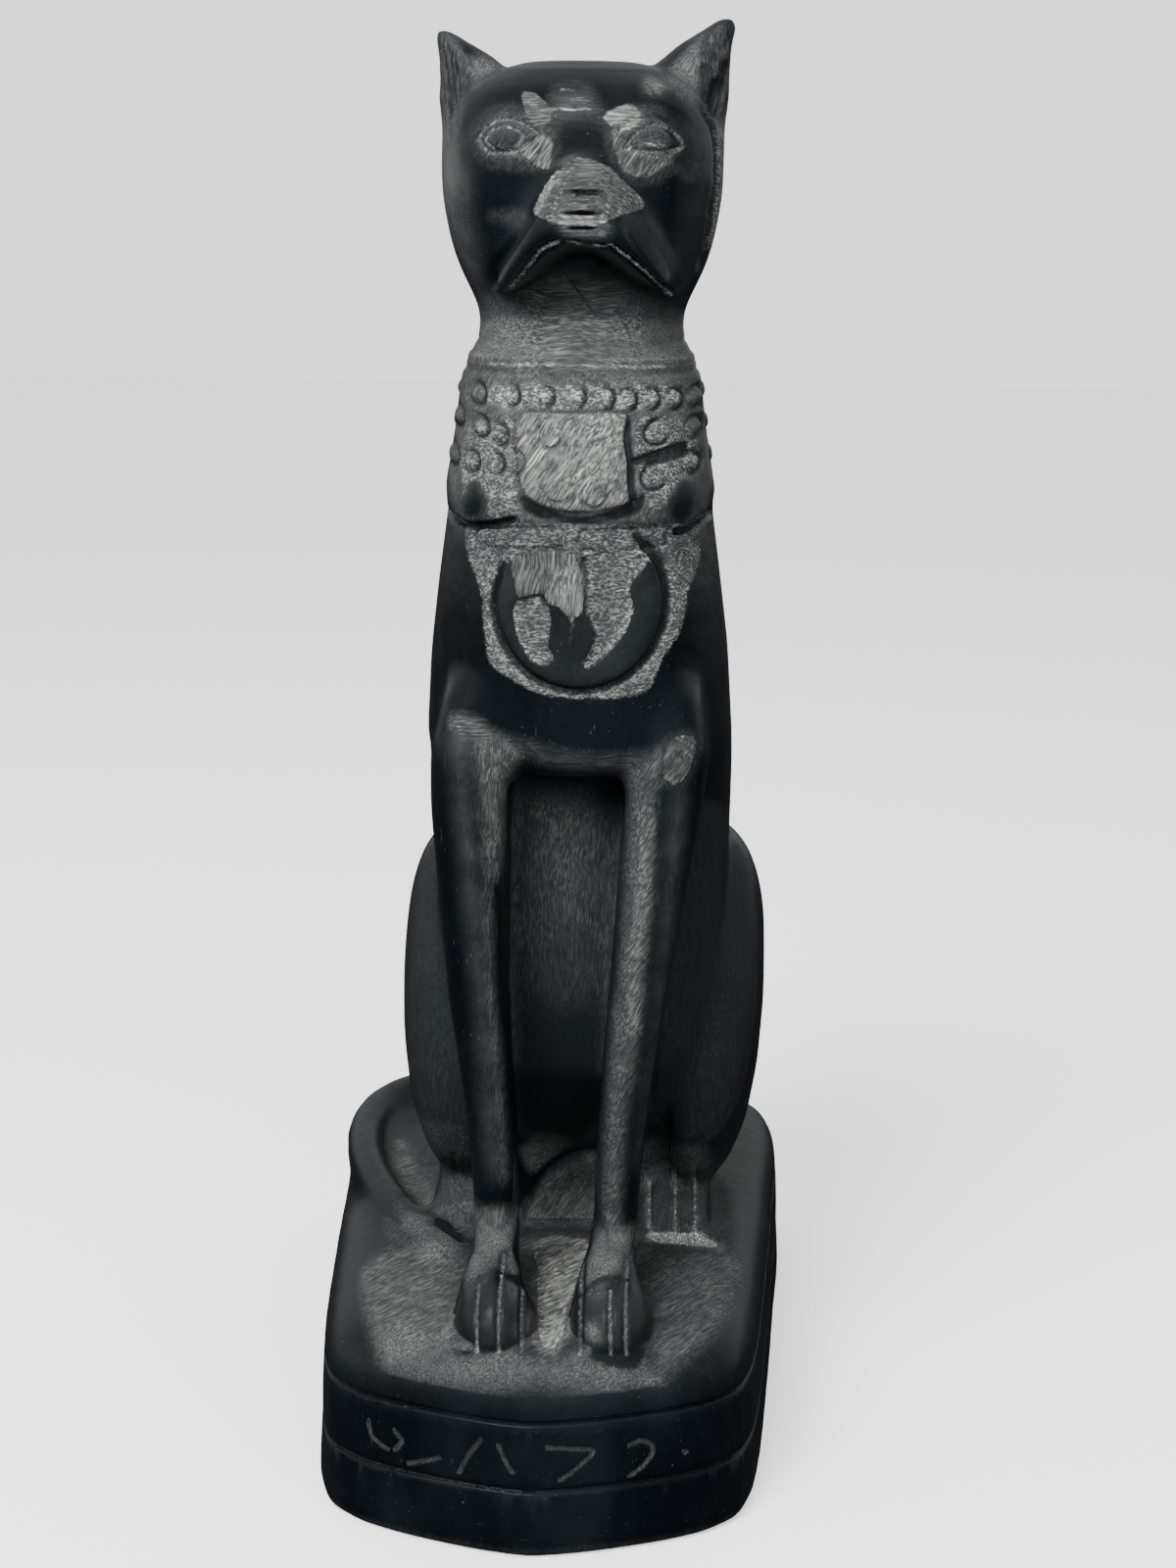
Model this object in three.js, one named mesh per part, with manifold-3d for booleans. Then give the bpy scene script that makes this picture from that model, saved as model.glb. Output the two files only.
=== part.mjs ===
// A seated cat figure carved with its plinth from one block of dark stone.
// Millimetres, +Z up, the cat looks along -Y, and the origin is the middle of the plinth's underside.
import * as THREE from "three";
import { LoftGeometry } from "three/addons/geometries/LoftGeometry.js";
import { mergeVertices } from "three/addons/utils/BufferGeometryUtils.js";
import Module from "manifold-3d";

const wasm = await Module();
wasm.setup();

// Driving dimensions, in millimetres.
const catHeight = 217.5; // plinth top to the tip of the taller ear
const plinthHeight = 34.4;
const toeMargin = 8; // plinth left in front of the toes
const rumpMargin = 14.5; // plinth left behind the rump
const openSideMargin = 6; // plinth beside the haunch without a tail
const tailSideMargin = 16.5; // plinth beside the haunch, where the tail lies
const plinthTopRounding = 8;
const plinthFootChamfer = 1.2;
const plinthBatter = 1.4; // how far the wall leans in from its foot to its top
const lowerLineHeight = 12.6; // lower of the two cut lines round the plinth, above its foot
const upperLineDrop = 9.7; // upper cut line, below the plinth's top
const cutLineWidth = 1.4;
const cutLineDepth = 0.9;

const stoneColour = 0x20262b;
const stoneRoughness = 0.4;

// Facets round each form, or along it.
const facets = {
  plinth: 52,
  rounding: 3,
  trunk: 28,
  foreleg: 14,
  pawArch: 8,
  thigh: 25,
  tail: 8,
  tailLength: 16,
  ear: 10,
  disc: 24,
};

// The cat is a free form: its sizes are hundredths of its height, measured from the
// plinth's top, from its middle plane and from a line across the plinth's middle.
const hundredth = catHeight / 100;
const toeTip = -30;
const rumpBack = 26.6;
const haunchHalfWidth = 16;

const plinthLength = toeMargin + (rumpBack - toeTip) * hundredth + rumpMargin;
const plinthWidth = openSideMargin + 2 * haunchHalfWidth * hundredth + tailSideMargin;
const catOffsetX = (tailSideMargin - openSideMargin) / 2;
const catOffsetY = toeMargin - plinthLength / 2 - toeTip * hundredth;

// Half of the plinth's plan from the front to the back, as shares of its half width and half length.
const planHalf = [
  [0, -1],
  [0.26, -0.965],
  [0.5, -0.915],
  [0.7, -0.85],
  [0.8, -0.78],
  [0.85, -0.64],
  [0.92, -0.15],
  [0.97, 0.3],
  [1, 0.55],
  [1, 0.74],
  [0.92, 0.9],
  [0.6, 0.975],
  [0, 1],
];

// Trunk, neck and head as level sections.
const trunkStations = [
  { z: -1, half: 10.6, front: -4.6, middle: 8, back: 25.2, power: 2.6 },
  { z: 3, half: 11.2, front: -5, middle: 8, back: 26.2, power: 2.6 },
  { z: 8, half: 11.8, front: -7.5, middle: 7, back: 26.6, power: 2.6 },
  { z: 13, half: 12.1, front: -12.5, middle: 6, back: 26.4, power: 2.6 },
  { z: 18, half: 12.3, front: -16.4, middle: 4.5, back: 25.4, power: 2.6 },
  { z: 26, half: 12.4, front: -17.9, middle: 2, back: 22.8, power: 2.6 },
  { z: 35, half: 12.5, front: -18.6, middle: -2, back: 18.6, power: 2.5 },
  { z: 40.5, half: 12.5, front: -19.4, middle: -5, back: 15, power: 2.4 },
  { z: 43.6, half: 12.45, front: -20.6, middle: -6.5, back: 13.6, power: 2.4 },
  { z: 45.1, half: 12.35, front: -26, middle: -8, back: 12.6, power: 2.4 },
  { z: 47.2, half: 12.2, front: -27.1, middle: -9, back: 11.4, power: 2.4 },
  { z: 52.63, half: 11.8, front: -27.7, middle: -10.5, back: 9.2, power: 2.4 },
  { z: 57.6, half: 11.15, front: -27.8, middle: -12, back: 6.4, power: 2.4 },
  { z: 61.57, half: 10.6, front: -27.4, middle: -12.6, back: 4.2, power: 2.4 },
  { z: 63.76, half: 10.3, front: -27.1, middle: -13, back: 3, power: 2.4 },
  { z: 64.05, half: 9.9, front: -26.7, middle: -13, back: 2.6, power: 2.4 },
  { z: 64.45, half: 10.3, front: -27.2, middle: -13, back: 2.8, power: 2.4 },
  { z: 66.54, half: 10, front: -26.9, middle: -13.2, back: 1.6, power: 2.4 },
  { z: 70.51, half: 9.4, front: -26, middle: -13.6, back: -0.6, power: 2.3 },
  { z: 74.48, half: 8.85, front: -24.9, middle: -14, back: -3, power: 2.2 },
  { z: 75.28, half: 8.6, front: -24.5, middle: -14, back: -3.6, power: 2.2 },
  { z: 76.67, half: 7.9, front: -23.2, middle: -14.2, back: -5.2, power: 2.2 },
  { z: 78.45, half: 7.7, front: -22.5, middle: -14.4, back: -6, power: 2.2 },
  { z: 80.04, half: 8.35, front: -22.6, middle: -14.4, back: -5.4, power: 2.3 },
  { z: 82.03, half: 9.3, front: -23.4, middle: -14.5, back: -4.6, power: 2.5 },
  { z: 84.12, half: 9.95, front: -24.5, middle: -14.7, back: -4.1, power: 2.6 },
  { z: 87.39, half: 10.5, front: -25.3, middle: -15, back: -3.8, power: 2.7 },
  { z: 90.57, half: 10.5, front: -25.5, middle: -15, back: -4, power: 2.7 },
  { z: 92.95, half: 10, front: -24.9, middle: -15, back: -5, power: 2.6 },
  { z: 94.74, half: 8.8, front: -23.4, middle: -15.2, back: -6.8, power: 2.5 },
  { z: 96.03, half: 6.8, front: -21.2, middle: -15.4, back: -9.4, power: 2.3 },
  { z: 96.73, half: 4.2, front: -18.8, middle: -15.6, back: -12.2, power: 2.1 },
];

const trunkSpacing = 4.5;

// Both forelegs lean a little to the cat's right on their way down.
const legStations = [
  { z: 2, x: 4.75, lean: -1.2, half: 1.9, front: -21.8, back: -16.6 },
  { z: 7.6, x: 4.85, lean: -1.15, half: 1.8, front: -21.9, back: -16.4 },
  { z: 16, x: 5.25, lean: -1.1, half: 1.95, front: -23.4, back: -15.6 },
  { z: 26, x: 6.2, lean: -1.1, half: 2.25, front: -24.8, back: -14.6 },
  { z: 34, x: 6.8, lean: -0.8, half: 2.6, front: -25.8, back: -14 },
  { z: 42, x: 7.35, lean: -0.45, half: 3.05, front: -26.5, back: -14 },
  { z: 46.6, x: 7.35, lean: -0.2, half: 3.25, front: -26.9, back: -14 },
  { z: 51.6, x: 6.6, lean: 0, half: 3, front: -25.6, back: -14 },
];

const legSpacing = 5.5;
const legSquareness = 2.8;
const shinDepth = 1.3; // widest place of a leg behind its front, in half widths

const frontPawStations = [
  { y: toeTip, half: 1.9, top: 1.5 },
  { y: -29.4, half: 2.8, top: 2.9 },
  { y: -28, half: 3.3, top: 4 },
  { y: -25.6, half: 3.3, top: 4.9 },
  { y: -23, half: 2.7, top: 6.2 },
  { y: -20.8, half: 2.1, top: 7.2 },
  { y: -17, half: 1.8, top: 6.6 },
];
const frontPawX = 4.6;
const frontPawLean = -1.35;

const hindPawStations = [
  { y: -8.2, half: 2.2, top: 2 },
  { y: -7.5, half: 3.1, top: 3.2 },
  { y: -5, half: 3.4, top: 4.3 },
  { y: 2, half: 3.4, top: 6 },
  { y: 12, half: 3.4, top: 7 },
  { y: 21, half: 3.2, top: 6.4 },
  { y: 23.4, half: 2, top: 4.6 },
];
const hindPawX = 8.9;
const hindPawLean = -0.6;
const pawFlatness = 0.75; // below 1 squares the arch of a paw
const toeCut = { offsets: [-1.45, 0.1, 1.5], width: 0.4, depth: 0.55, top: 5.5, front: 6, hind: 4.5 };

// The thigh's outline seen from the side, and how it shrinks towards its outer face.
const thighOutline = [
  [-9, 7],
  [-11.6, 13.5],
  [-9.6, 22],
  [-3, 29.6],
  [6, 33.8],
  [15, 31.6],
  [22.4, 24.6],
  [26, 15],
  [25, 6],
  [14, 1.5],
  [0, 2],
];
const thighCentre = [7.5, 22];
// How far in from a thigh's outermost face each layer of it lies, and its outline's share there.
const thighLayers = [
  [8, 1],
  [4.6, 1],
  [2.8, 0.89],
  [1.4, 0.73],
  [0.5, 0.52],
  [0, 0.27],
].map(([inwards, scale]) => [haunchHalfWidth - inwards, scale]);

const tailRoute = [
  [-2, 25.6],
  [-9, 27],
  [-15.8, 25.8],
  [-19.8, 21.4],
  [-21.1, 15],
  [-20.4, 8],
  [-18.8, 2],
  [-16.6, -3.2],
  [-14.4, -7],
  [-11.6, -10.6],
  [-8.6, -12.8],
];
const tailRadius = 2;
const tailTipRadius = 1.6;
const tailRise = 0.3; // height of the tail's middle line, as a share of its radius
const tailRoot = 2.2; // how much deeper than a round its underside reaches into the plinth

// The low floor of stone left between the feet.
const bellyBlock = { half: 5, top: 6.2, front: -5.2, back: 6, rounding: 1 };

// Muzzle: half outlines from the bridge down to the chin, on planes across the face.
const muzzlePlanes = [
  { y: -20, half: [[0, 90.3], [2.2, 89.5], [4.4, 86.4], [7, 80.6], [5.8, 80], [0, 83]] },
  { y: -25.4, half: [[0, 89.6], [1.8, 89], [4.2, 86], [6.4, 80.6], [5.4, 80.2], [0, 83.4]] },
  { y: -27.4, half: [[0, 88.3], [1.7, 87.8], [3.9, 85.6], [5.5, 81.6], [4.7, 81.3], [0, 83.6]] },
  { y: -28.9, half: [[0, 87], [1.6, 86.8], [3.4, 85.3], [4.2, 83], [3.5, 82.8], [0, 83.9]] },
  { y: -29.7, half: [[0, 86.2], [1.3, 86.1], [2.6, 85.2], [2.9, 84.1], [2.4, 84], [0, 84.2]] },
];
const faceShift = 0.6; // muzzle, tablet and disc sit a little to the cat's left of its middle

// Ears: level sections that lean outwards to the tip.
const earStations = [
  { z: 86.4, x: 9.3, across: 0.6, along: 1.8 },
  { z: 90.37, x: 9.2, across: 1.2, along: 2.7 },
  { z: 93.85, x: 8.6, across: 2.3, along: 2.8 },
  { z: 95.93, x: 8, across: 3, along: 2.4 },
  { z: 97.32, x: 8.8, across: 2.1, along: 1.8 },
  { z: 98.52, x: 9.8, across: 1.1, along: 1.1 },
  { z: 99.11, x: 10.1, across: 0.55, along: 0.6 },
];
const earY = -14.6;
const earTurn = 0.35; // the ear's hollow faces forwards and a little outwards, radians
const earTips = { left: 100, right: 99 };
const earHollow = { x: 10.3, forward: 2.4, z: 94, across: 1.25, deep: 1.7, up: 3.7 };

// Broad collar, its pendant disc and the worn tablet.
const collar = { bottom: 64.2, top: 75.4, raised: 0.14, lip: 0.25, sunk: 0.5 };
const collarColumns = 30; // beads in a row, and petals below them
const beadRows = { heights: [68.25, 70.8, 73.35], reach: 0.75, standsOut: 0.5 };
const petalRow = { heights: [65.9], reach: 1.35, standsOut: 0.45 };
const tablet = { left: -2.9, right: 4.2, bottom: 65.1, top: 71.4, raised: 0.4, edge: 0.5 };
const disc = { z: 58.3, radius: 6.35, groove: 0.55, depth: 0.5 };
// One sunk wing on the disc, as an outline beside the disc's middle.
const wing = [
  [0.5, 62.2],
  [3.9, 61.8],
  [4.5, 59.4],
  [3.6, 56.6],
  [2, 54.4],
  [0.7, 53.6],
  [1.6, 56.2],
  [1.3, 59.2],
];
const wingDepth = 0.4;
const chestSlab = { from: -32, to: -18 }; // front and back of every cut into the chest

const eye = { x: 5.25, below: 5.43, across: 2.1, up: 1, out: 0.45, turn: 0.3 }; // below the crown
// Straight cuts of the face, each from its middle to one end.
const noseCuts = [
  { y: -28.3, z: 87.5 },
  { y: -28.85, z: 86 },
  { y: -29.4, z: 84.8 },
];
const noseCut = { half: 1.35, height: 0.3, depth: 1.6 };
const mouthCut = { from: [2.1, -28.9, 83.5], to: [5.4, -26.4, 80.9], width: 0.5, depth: 1 };

// Helpers that turn named sizes into closed solids.

const signedPower = (value, power) => Math.sign(value) * Math.abs(value) ** power;

/** Monotone cubic interpolation of one named size between stations. */
function between(stations, along, key, at) {
  const last = stations.length - 1;
  let i = 0;
  while (i < last - 1 && at > stations[i + 1][along]) i += 1;
  const slope = (a, b) => (b[key] - a[key]) / (b[along] - a[along]);
  const tangent = (k) => {
    if (k === 0) return slope(stations[0], stations[1]);
    if (k === last) return slope(stations[last - 1], stations[last]);
    const before = slope(stations[k - 1], stations[k]);
    const after = slope(stations[k], stations[k + 1]);
    return before * after > 0 ? (2 * before * after) / (before + after) : 0;
  };
  const a = stations[i];
  const b = stations[i + 1];
  const span = b[along] - a[along];
  const t = THREE.MathUtils.clamp((at - a[along]) / span, 0, 1);
  const t2 = t * t;
  const t3 = t2 * t;
  return (
    (2 * t3 - 3 * t2 + 1) * a[key] +
    (t3 - 2 * t2 + t) * span * tangent(i) +
    (3 * t2 - 2 * t3) * b[key] +
    (t3 - t2) * span * tangent(i + 1)
  );
}

/** The stations themselves with further levels between those that lie far apart. */
function levels(stations, along, spacing) {
  const found = [stations[0][along]];
  for (let i = 1; i < stations.length; i += 1) {
    const from = stations[i - 1][along];
    const to = stations[i][along];
    const steps = Math.max(1, Math.round((to - from) / spacing));
    for (let k = 1; k <= steps; k += 1) found.push(from + ((to - from) * k) / steps);
  }
  return found;
}

/** A closed solid from a three.js geometry. */
function solid(geometry) {
  const bare = new THREE.BufferGeometry();
  bare.setAttribute("position", geometry.getAttribute("position"));
  bare.setIndex(geometry.index);
  const merged = mergeVertices(bare, 1e-4);
  return new wasm.Manifold(
    new wasm.Mesh({
      numProp: 3,
      vertProperties: merged.attributes.position.array,
      triVerts: new Uint32Array(merged.index.array),
    }),
  );
}

const middleOf = (ring) =>
  ring.reduce((sum, point) => sum.add(point), new THREE.Vector3()).divideScalar(ring.length);

/** A capped loft, whichever way round its sections run. */
function loft(sections) {
  const start = middleOf(sections[0]);
  const ahead = middleOf(sections[1]).sub(start);
  const facing = sections[0].reduce((sum, point, i, ring) => {
    const next = ring[(i + 1) % ring.length].clone().sub(start);
    return sum.add(point.clone().sub(start).cross(next));
  }, new THREE.Vector3());
  const ordered = facing.dot(ahead) > 0 ? sections : sections.map((ring) => ring.toReversed());
  return solid(new LoftGeometry(ordered, { capStart: true, capEnd: true }));
}

const joined = (solids) => solids.reduce((whole, next) => whole.add(next));

/** Points on a level ring whose front and back halves have depths of their own. */
function levelRing({ x = 0, z, half, front, middle, back, power }, count) {
  return Array.from({ length: count }, (_, i) => {
    const angle = (2 * Math.PI * i) / count;
    const across = signedPower(Math.cos(angle), 2 / power);
    const along = signedPower(Math.sin(angle), 2 / power);
    const depth = along > 0 ? back - middle : middle - front;
    return new THREE.Vector3(x + half * across, middle + depth * along, z);
  });
}

/** A block over a front outline, for cutting and for raised fields. */
function frontPrism(outline, from, to) {
  const shape = new THREE.Shape(outline.map(([x, z]) => new THREE.Vector2(x, z)));
  const geometry = new THREE.ExtrudeGeometry(shape, { depth: to - from, bevelEnabled: false });
  geometry.rotateX(Math.PI / 2);
  geometry.translate(0, to, 0);
  return solid(geometry);
}

/** A straight bar with square ends between two points. */
function bar(from, to, width, thickness) {
  const a = new THREE.Vector3(...from);
  const b = new THREE.Vector3(...to);
  const geometry = new THREE.BoxGeometry(width, thickness, a.distanceTo(b));
  const turn = new THREE.Quaternion().setFromUnitVectors(
    new THREE.Vector3(0, 0, 1),
    b.clone().sub(a).normalize(),
  );
  geometry.applyQuaternion(turn);
  geometry.translate(...a.add(b).multiplyScalar(0.5).toArray());
  return solid(geometry);
}

/** A low ball, stretched along each axis and turned about the vertical. */
function boss([x, y, z], [across, out, up], turn, [around, rows] = [8, 5]) {
  const geometry = new THREE.SphereGeometry(1, around, rows);
  geometry.rotateX(Math.PI / 2);
  geometry.scale(across, out, up);
  geometry.rotateZ(turn);
  geometry.translate(x, y, z);
  return solid(geometry);
}

/** A shape made once for each side of the cat, +1 being its left. */
const bothSides = (make) => make(1).add(make(-1));

// The plinth.

const planCurve = new THREE.CatmullRomCurve3(
  [
    ...planHalf,
    ...planHalf
      .slice(1, -1)
      .reverse()
      .map(([x, y]) => [-x, y]),
  ].map(([x, y]) => new THREE.Vector3((x * plinthWidth) / 2, (y * plinthLength) / 2, 0)),
  true,
);

/** The plinth's outline at a height, moved in from the foot's outline. */
const plinthRing = (z, inset) =>
  planCurve
    .getSpacedPoints(facets.plinth)
    .slice(0, -1)
    .map(
      ({ x, y }) =>
        new THREE.Vector3(x * (1 - (2 * inset) / plinthWidth), y * (1 - (2 * inset) / plinthLength), z),
    );

const leanAt = (z) => (plinthBatter * z) / plinthHeight;

function plinth() {
  const cutLine = (z) => [
    [z - cutLineWidth / 2, 0],
    [z, cutLineDepth],
    [z + cutLineWidth / 2, 0],
  ];
  const radius = Math.min(plinthTopRounding, upperLineDrop - cutLineWidth);
  const rounding = Array.from({ length: facets.rounding + 1 }, (_, i) => {
    const angle = ((Math.PI / 2) * i) / facets.rounding;
    return [plinthHeight - radius * (1 - Math.sin(angle)), radius * (1 - Math.cos(angle))];
  });
  const profile = [
    [0, plinthFootChamfer],
    [plinthFootChamfer, 0],
    ...cutLine(lowerLineHeight),
    ...cutLine(plinthHeight - upperLineDrop),
    ...rounding,
  ];
  return loft(profile.map(([z, inset]) => plinthRing(z, inset + leanAt(z))));
}

// The cat, in hundredths of its height.

function trunk(grow = 0) {
  const rows = levels(trunkStations, "z", trunkSpacing).map((z) => {
    const at = (key) => between(trunkStations, "z", key, z);
    return levelRing(
      {
        z,
        half: at("half") + grow,
        front: at("front") - grow,
        middle: at("middle"),
        back: at("back") + grow,
        power: at("power"),
      },
      facets.trunk,
    );
  });
  return loft(rows);
}

/** Where the trunk's surface is at a height and at an angle round it, 0 being +X. */
function trunkPoint(z, angle) {
  const at = (key) => between(trunkStations, "z", key, z);
  const across = signedPower(Math.cos(angle), 2 / at("power"));
  const along = signedPower(Math.sin(angle), 2 / at("power"));
  const depth = along > 0 ? at("back") - at("middle") : at("middle") - at("front");
  return [at("half") * across, at("middle") + depth * along, z];
}

function foreleg(side) {
  const rows = levels(legStations, "z", legSpacing).map((z) => {
    const at = (key) => between(legStations, "z", key, z);
    return levelRing(
      {
        z,
        x: side * at("x") + at("lean"),
        half: at("half"),
        front: at("front"),
        middle: at("front") + at("half") * shinDepth,
        back: at("back"),
        power: legSquareness,
      },
      facets.foreleg,
    );
  });
  return loft(rows);
}

/** A paw along the plinth: low sections with a flat sole sunk just into the plinth. */
function paw(stations, x, sunk = 1) {
  const arch = facets.pawArch;
  const rows = stations.map(({ y, half, top }) => {
    const points = Array.from({ length: arch + 1 }, (_, i) => {
      const angle = (Math.PI * i) / arch;
      return new THREE.Vector3(
        x + half * signedPower(Math.cos(angle), pawFlatness),
        y,
        top * signedPower(Math.sin(angle), pawFlatness),
      );
    });
    return [...points, new THREE.Vector3(x - half, y, -sunk), new THREE.Vector3(x + half, y, -sunk)];
  });
  return loft(rows);
}

/** Cuts between the toes of a paw, no deeper than its skin. */
function toeCuts(stations, x, length) {
  const { offsets, width, depth, top } = toeCut;
  const slim = stations.map(({ y, half, top: height }) => ({
    y: y + depth,
    half: half - depth / 2,
    top: height - depth,
  }));
  const from = stations[0].y;
  const cuts = offsets.map((offset) =>
    bar([x + offset, from - depth, top / 2], [x + offset, from + length, top / 2], width, top),
  );
  return joined(cuts).subtract(paw(slim, x));
}

function thigh(side) {
  const curve = new THREE.CatmullRomCurve3(
    thighOutline.map(([y, z]) => new THREE.Vector3(0, y, z)),
    true,
  );
  const outline = curve.getSpacedPoints(facets.thigh).slice(0, -1);
  const rows = thighLayers.map(([x, scale]) =>
    outline.map(
      ({ y, z }) =>
        new THREE.Vector3(
          side * x,
          thighCentre[0] + (y - thighCentre[0]) * scale,
          thighCentre[1] + (z - thighCentre[1]) * scale,
        ),
    ),
  );
  return loft(rows);
}

function tail() {
  const curve = new THREE.CatmullRomCurve3(tailRoute.map(([x, y]) => new THREE.Vector3(x, y, 0)));
  const tipBegins = 0.93;
  const tipShrink = 0.6;
  const rows = Array.from({ length: facets.tailLength + 1 }, (_, i) => {
    const share = i / facets.tailLength;
    const centre = curve.getPointAt(share);
    const sideways = curve.getTangentAt(share).cross(new THREE.Vector3(0, 0, 1));
    const nearTip = tipShrink * THREE.MathUtils.smoothstep(share, tipBegins, 1);
    const radius = THREE.MathUtils.lerp(tailRadius, tailTipRadius, share) * (1 - nearTip);
    return Array.from({ length: facets.tail }, (__, k) => {
      const angle = (2 * Math.PI * k) / facets.tail;
      const height = Math.sin(angle) * (Math.sin(angle) < 0 ? tailRoot : 1);
      return centre
        .clone()
        .addScaledVector(sideways, radius * Math.cos(angle))
        .add(new THREE.Vector3(0, 0, radius * (tailRise + height)));
    });
  });
  return loft(rows);
}

function belly() {
  const { half, top, front, back, rounding } = bellyBlock;
  const stations = [
    { y: front, half: half - rounding, top: top - 2 * rounding },
    { y: front + rounding, half, top: top - rounding / 2 },
    { y: back, half, top },
  ];
  return paw(stations, 0);
}

function muzzle() {
  const rows = muzzlePlanes.map(({ y, half }) => {
    const right = half.map(([x, z]) => new THREE.Vector3(faceShift + x, y, z));
    const left = half.slice(1, -1).map(([x, z]) => new THREE.Vector3(faceShift - x, y, z));
    return [...right, ...left.reverse()];
  });
  return loft(rows);
}

function ear(side, tip) {
  const lowest = earStations[0].z;
  const stretch = (tip - lowest) / (earStations.at(-1).z - lowest);
  const rows = earStations.map(({ z, x, across, along }) =>
    Array.from({ length: facets.ear }, (_, i) => {
      const angle = (2 * Math.PI * i) / facets.ear;
      const u = across * Math.cos(angle);
      const v = along * Math.sin(angle);
      return new THREE.Vector3(
        side * (x + u * Math.cos(earTurn) - v * Math.sin(earTurn)),
        earY + u * Math.sin(earTurn) + v * Math.cos(earTurn),
        lowest + (z - lowest) * stretch,
      );
    }),
  );
  return loft(rows);
}

/** The scoop that hollows an ear from the front, open towards the outside. */
function earScoop(side) {
  const { x, forward, z, across, deep, up } = earHollow;
  return boss([side * x, earY - forward, z], [across, deep, up], side * earTurn, [8, 6]);
}

function underTablet(x, y, z) {
  const { left, right, top, edge } = tablet;
  return y < chestSlab.to && x > left - edge && x < right + edge && z < top + edge;
}

/** The collar: a raised sleeve whose rows bulge into beads and petals, plain under the tablet. */
function collarSleeve() {
  const { bottom, top, raised, lip, sunk } = collar;
  const rows = [petalRow, beadRows].flatMap(({ heights, reach, standsOut }) =>
    heights.flatMap((z) => [
      [z - reach, raised],
      [z, standsOut],
      [z + reach, raised],
    ]),
  );
  const profile = [
    [bottom - lip, -sunk],
    [bottom, raised],
    ...rows,
    [top, raised],
    [top + lip, -sunk],
  ];
  const around = 2 * collarColumns;
  return loft(
    profile.map(([z, bulge]) =>
      Array.from({ length: around }, (_, i) => {
        const angle = (2 * Math.PI * i) / around;
        const [x, y] = trunkPoint(z, angle);
        const out = i % 2 && !underTablet(x, y, z) ? bulge : Math.min(bulge, raised);
        return new THREE.Vector3(x + out * Math.cos(angle), y + out * Math.sin(angle), z);
      }),
    ),
  );
}

/** The worn tablet on the front of the collar: a plain raised field. */
function tabletField() {
  const { left, right, bottom, top, raised } = tablet;
  const outline = [
    [left, bottom],
    [right, bottom],
    [right, top],
    [left, top],
  ];
  return frontPrism(outline, chestSlab.from, chestSlab.to).intersect(trunk(raised));
}

/** The groove round the pendant disc below the collar, and the sunk fields of its two wings. */
function pendantCuts() {
  const { from, to } = chestSlab;
  const slack = 0.1;
  const round = (radius) =>
    Array.from({ length: facets.disc }, (_, i) => {
      const angle = (2 * Math.PI * i) / facets.disc;
      return [faceShift + radius * Math.cos(angle), disc.z + radius * Math.sin(angle)];
    });
  const widest = 2 * disc.radius;
  const belowCollar = [
    [-widest, disc.z - widest],
    [widest, disc.z - widest],
    [widest, collar.bottom - collar.lip],
    [-widest, collar.bottom - collar.lip],
  ];
  const groove = frontPrism(round(disc.radius + disc.groove / 2), from, to)
    .subtract(frontPrism(round(disc.radius - disc.groove / 2), from - slack, to + slack))
    .intersect(frontPrism(belowCollar, from - slack, to + slack))
    .subtract(trunk(-disc.depth));
  const wings = bothSides((side) =>
    frontPrism(
      wing.map(([x, z]) => [faceShift + side * x, z]),
      from,
      to,
    ),
  ).subtract(trunk(-wingDepth));
  return groove.add(wings);
}

/** Straight cuts of the face: across the nose, and down from it for the mouth. */
function faceCuts() {
  const { half, height, depth } = noseCut;
  const nose = noseCuts.map(({ y, z }) =>
    bar([faceShift - half, y, z], [faceShift + half, y, z], height, depth),
  );
  const beside = ([x, y, z], side) => [faceShift + side * x, y, z];
  const mouth = bothSides((side) =>
    bar(beside(mouthCut.from, side), beside(mouthCut.to, side), mouthCut.width, mouthCut.depth),
  );
  return joined([...nose, mouth]);
}

/** Where the front of the trunk or face is, at a height and a distance from the middle. */
function frontAt(x, z) {
  const at = (key) => between(trunkStations, "z", key, z);
  const share = 1 - Math.abs(x / at("half")) ** at("power");
  return at("middle") - (at("middle") - at("front")) * share ** (1 / at("power"));
}

function eyes() {
  const { x, below, across, up, out, turn } = eye;
  const z = trunkStations.at(-1).z - below;
  return bothSides((side) =>
    boss([side * x, frontAt(x, z), z], [across, out, up], side * turn, [10, 4]),
  );
}

function cat() {
  const feet = [
    { stations: frontPawStations, x: frontPawX, lean: frontPawLean, toes: toeCut.front },
    { stations: hindPawStations, x: hindPawX, lean: hindPawLean, toes: toeCut.hind },
  ];
  const paws = feet.map(({ stations, x, lean }) => bothSides((side) => paw(stations, side * x + lean)));
  const toes = feet.map(({ stations, x, lean, toes: length }) =>
    bothSides((side) => toeCuts(stations, side * x + lean, length)),
  );
  const leftEar = ear(1, earTips.left).subtract(earScoop(1));
  const rightEar = ear(-1, earTips.right).subtract(earScoop(-1));
  return joined([
    trunk(),
    muzzle(),
    bothSides(thigh),
    bothSides(foreleg),
    ...paws,
    belly(),
    tail(),
    leftEar,
    rightEar,
    collarSleeve(),
    tabletField(),
    eyes(),
  ])
    .subtract(joined(toes))
    .subtract(pendantCuts())
    .subtract(faceCuts());
}

// The whole carving.

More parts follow.
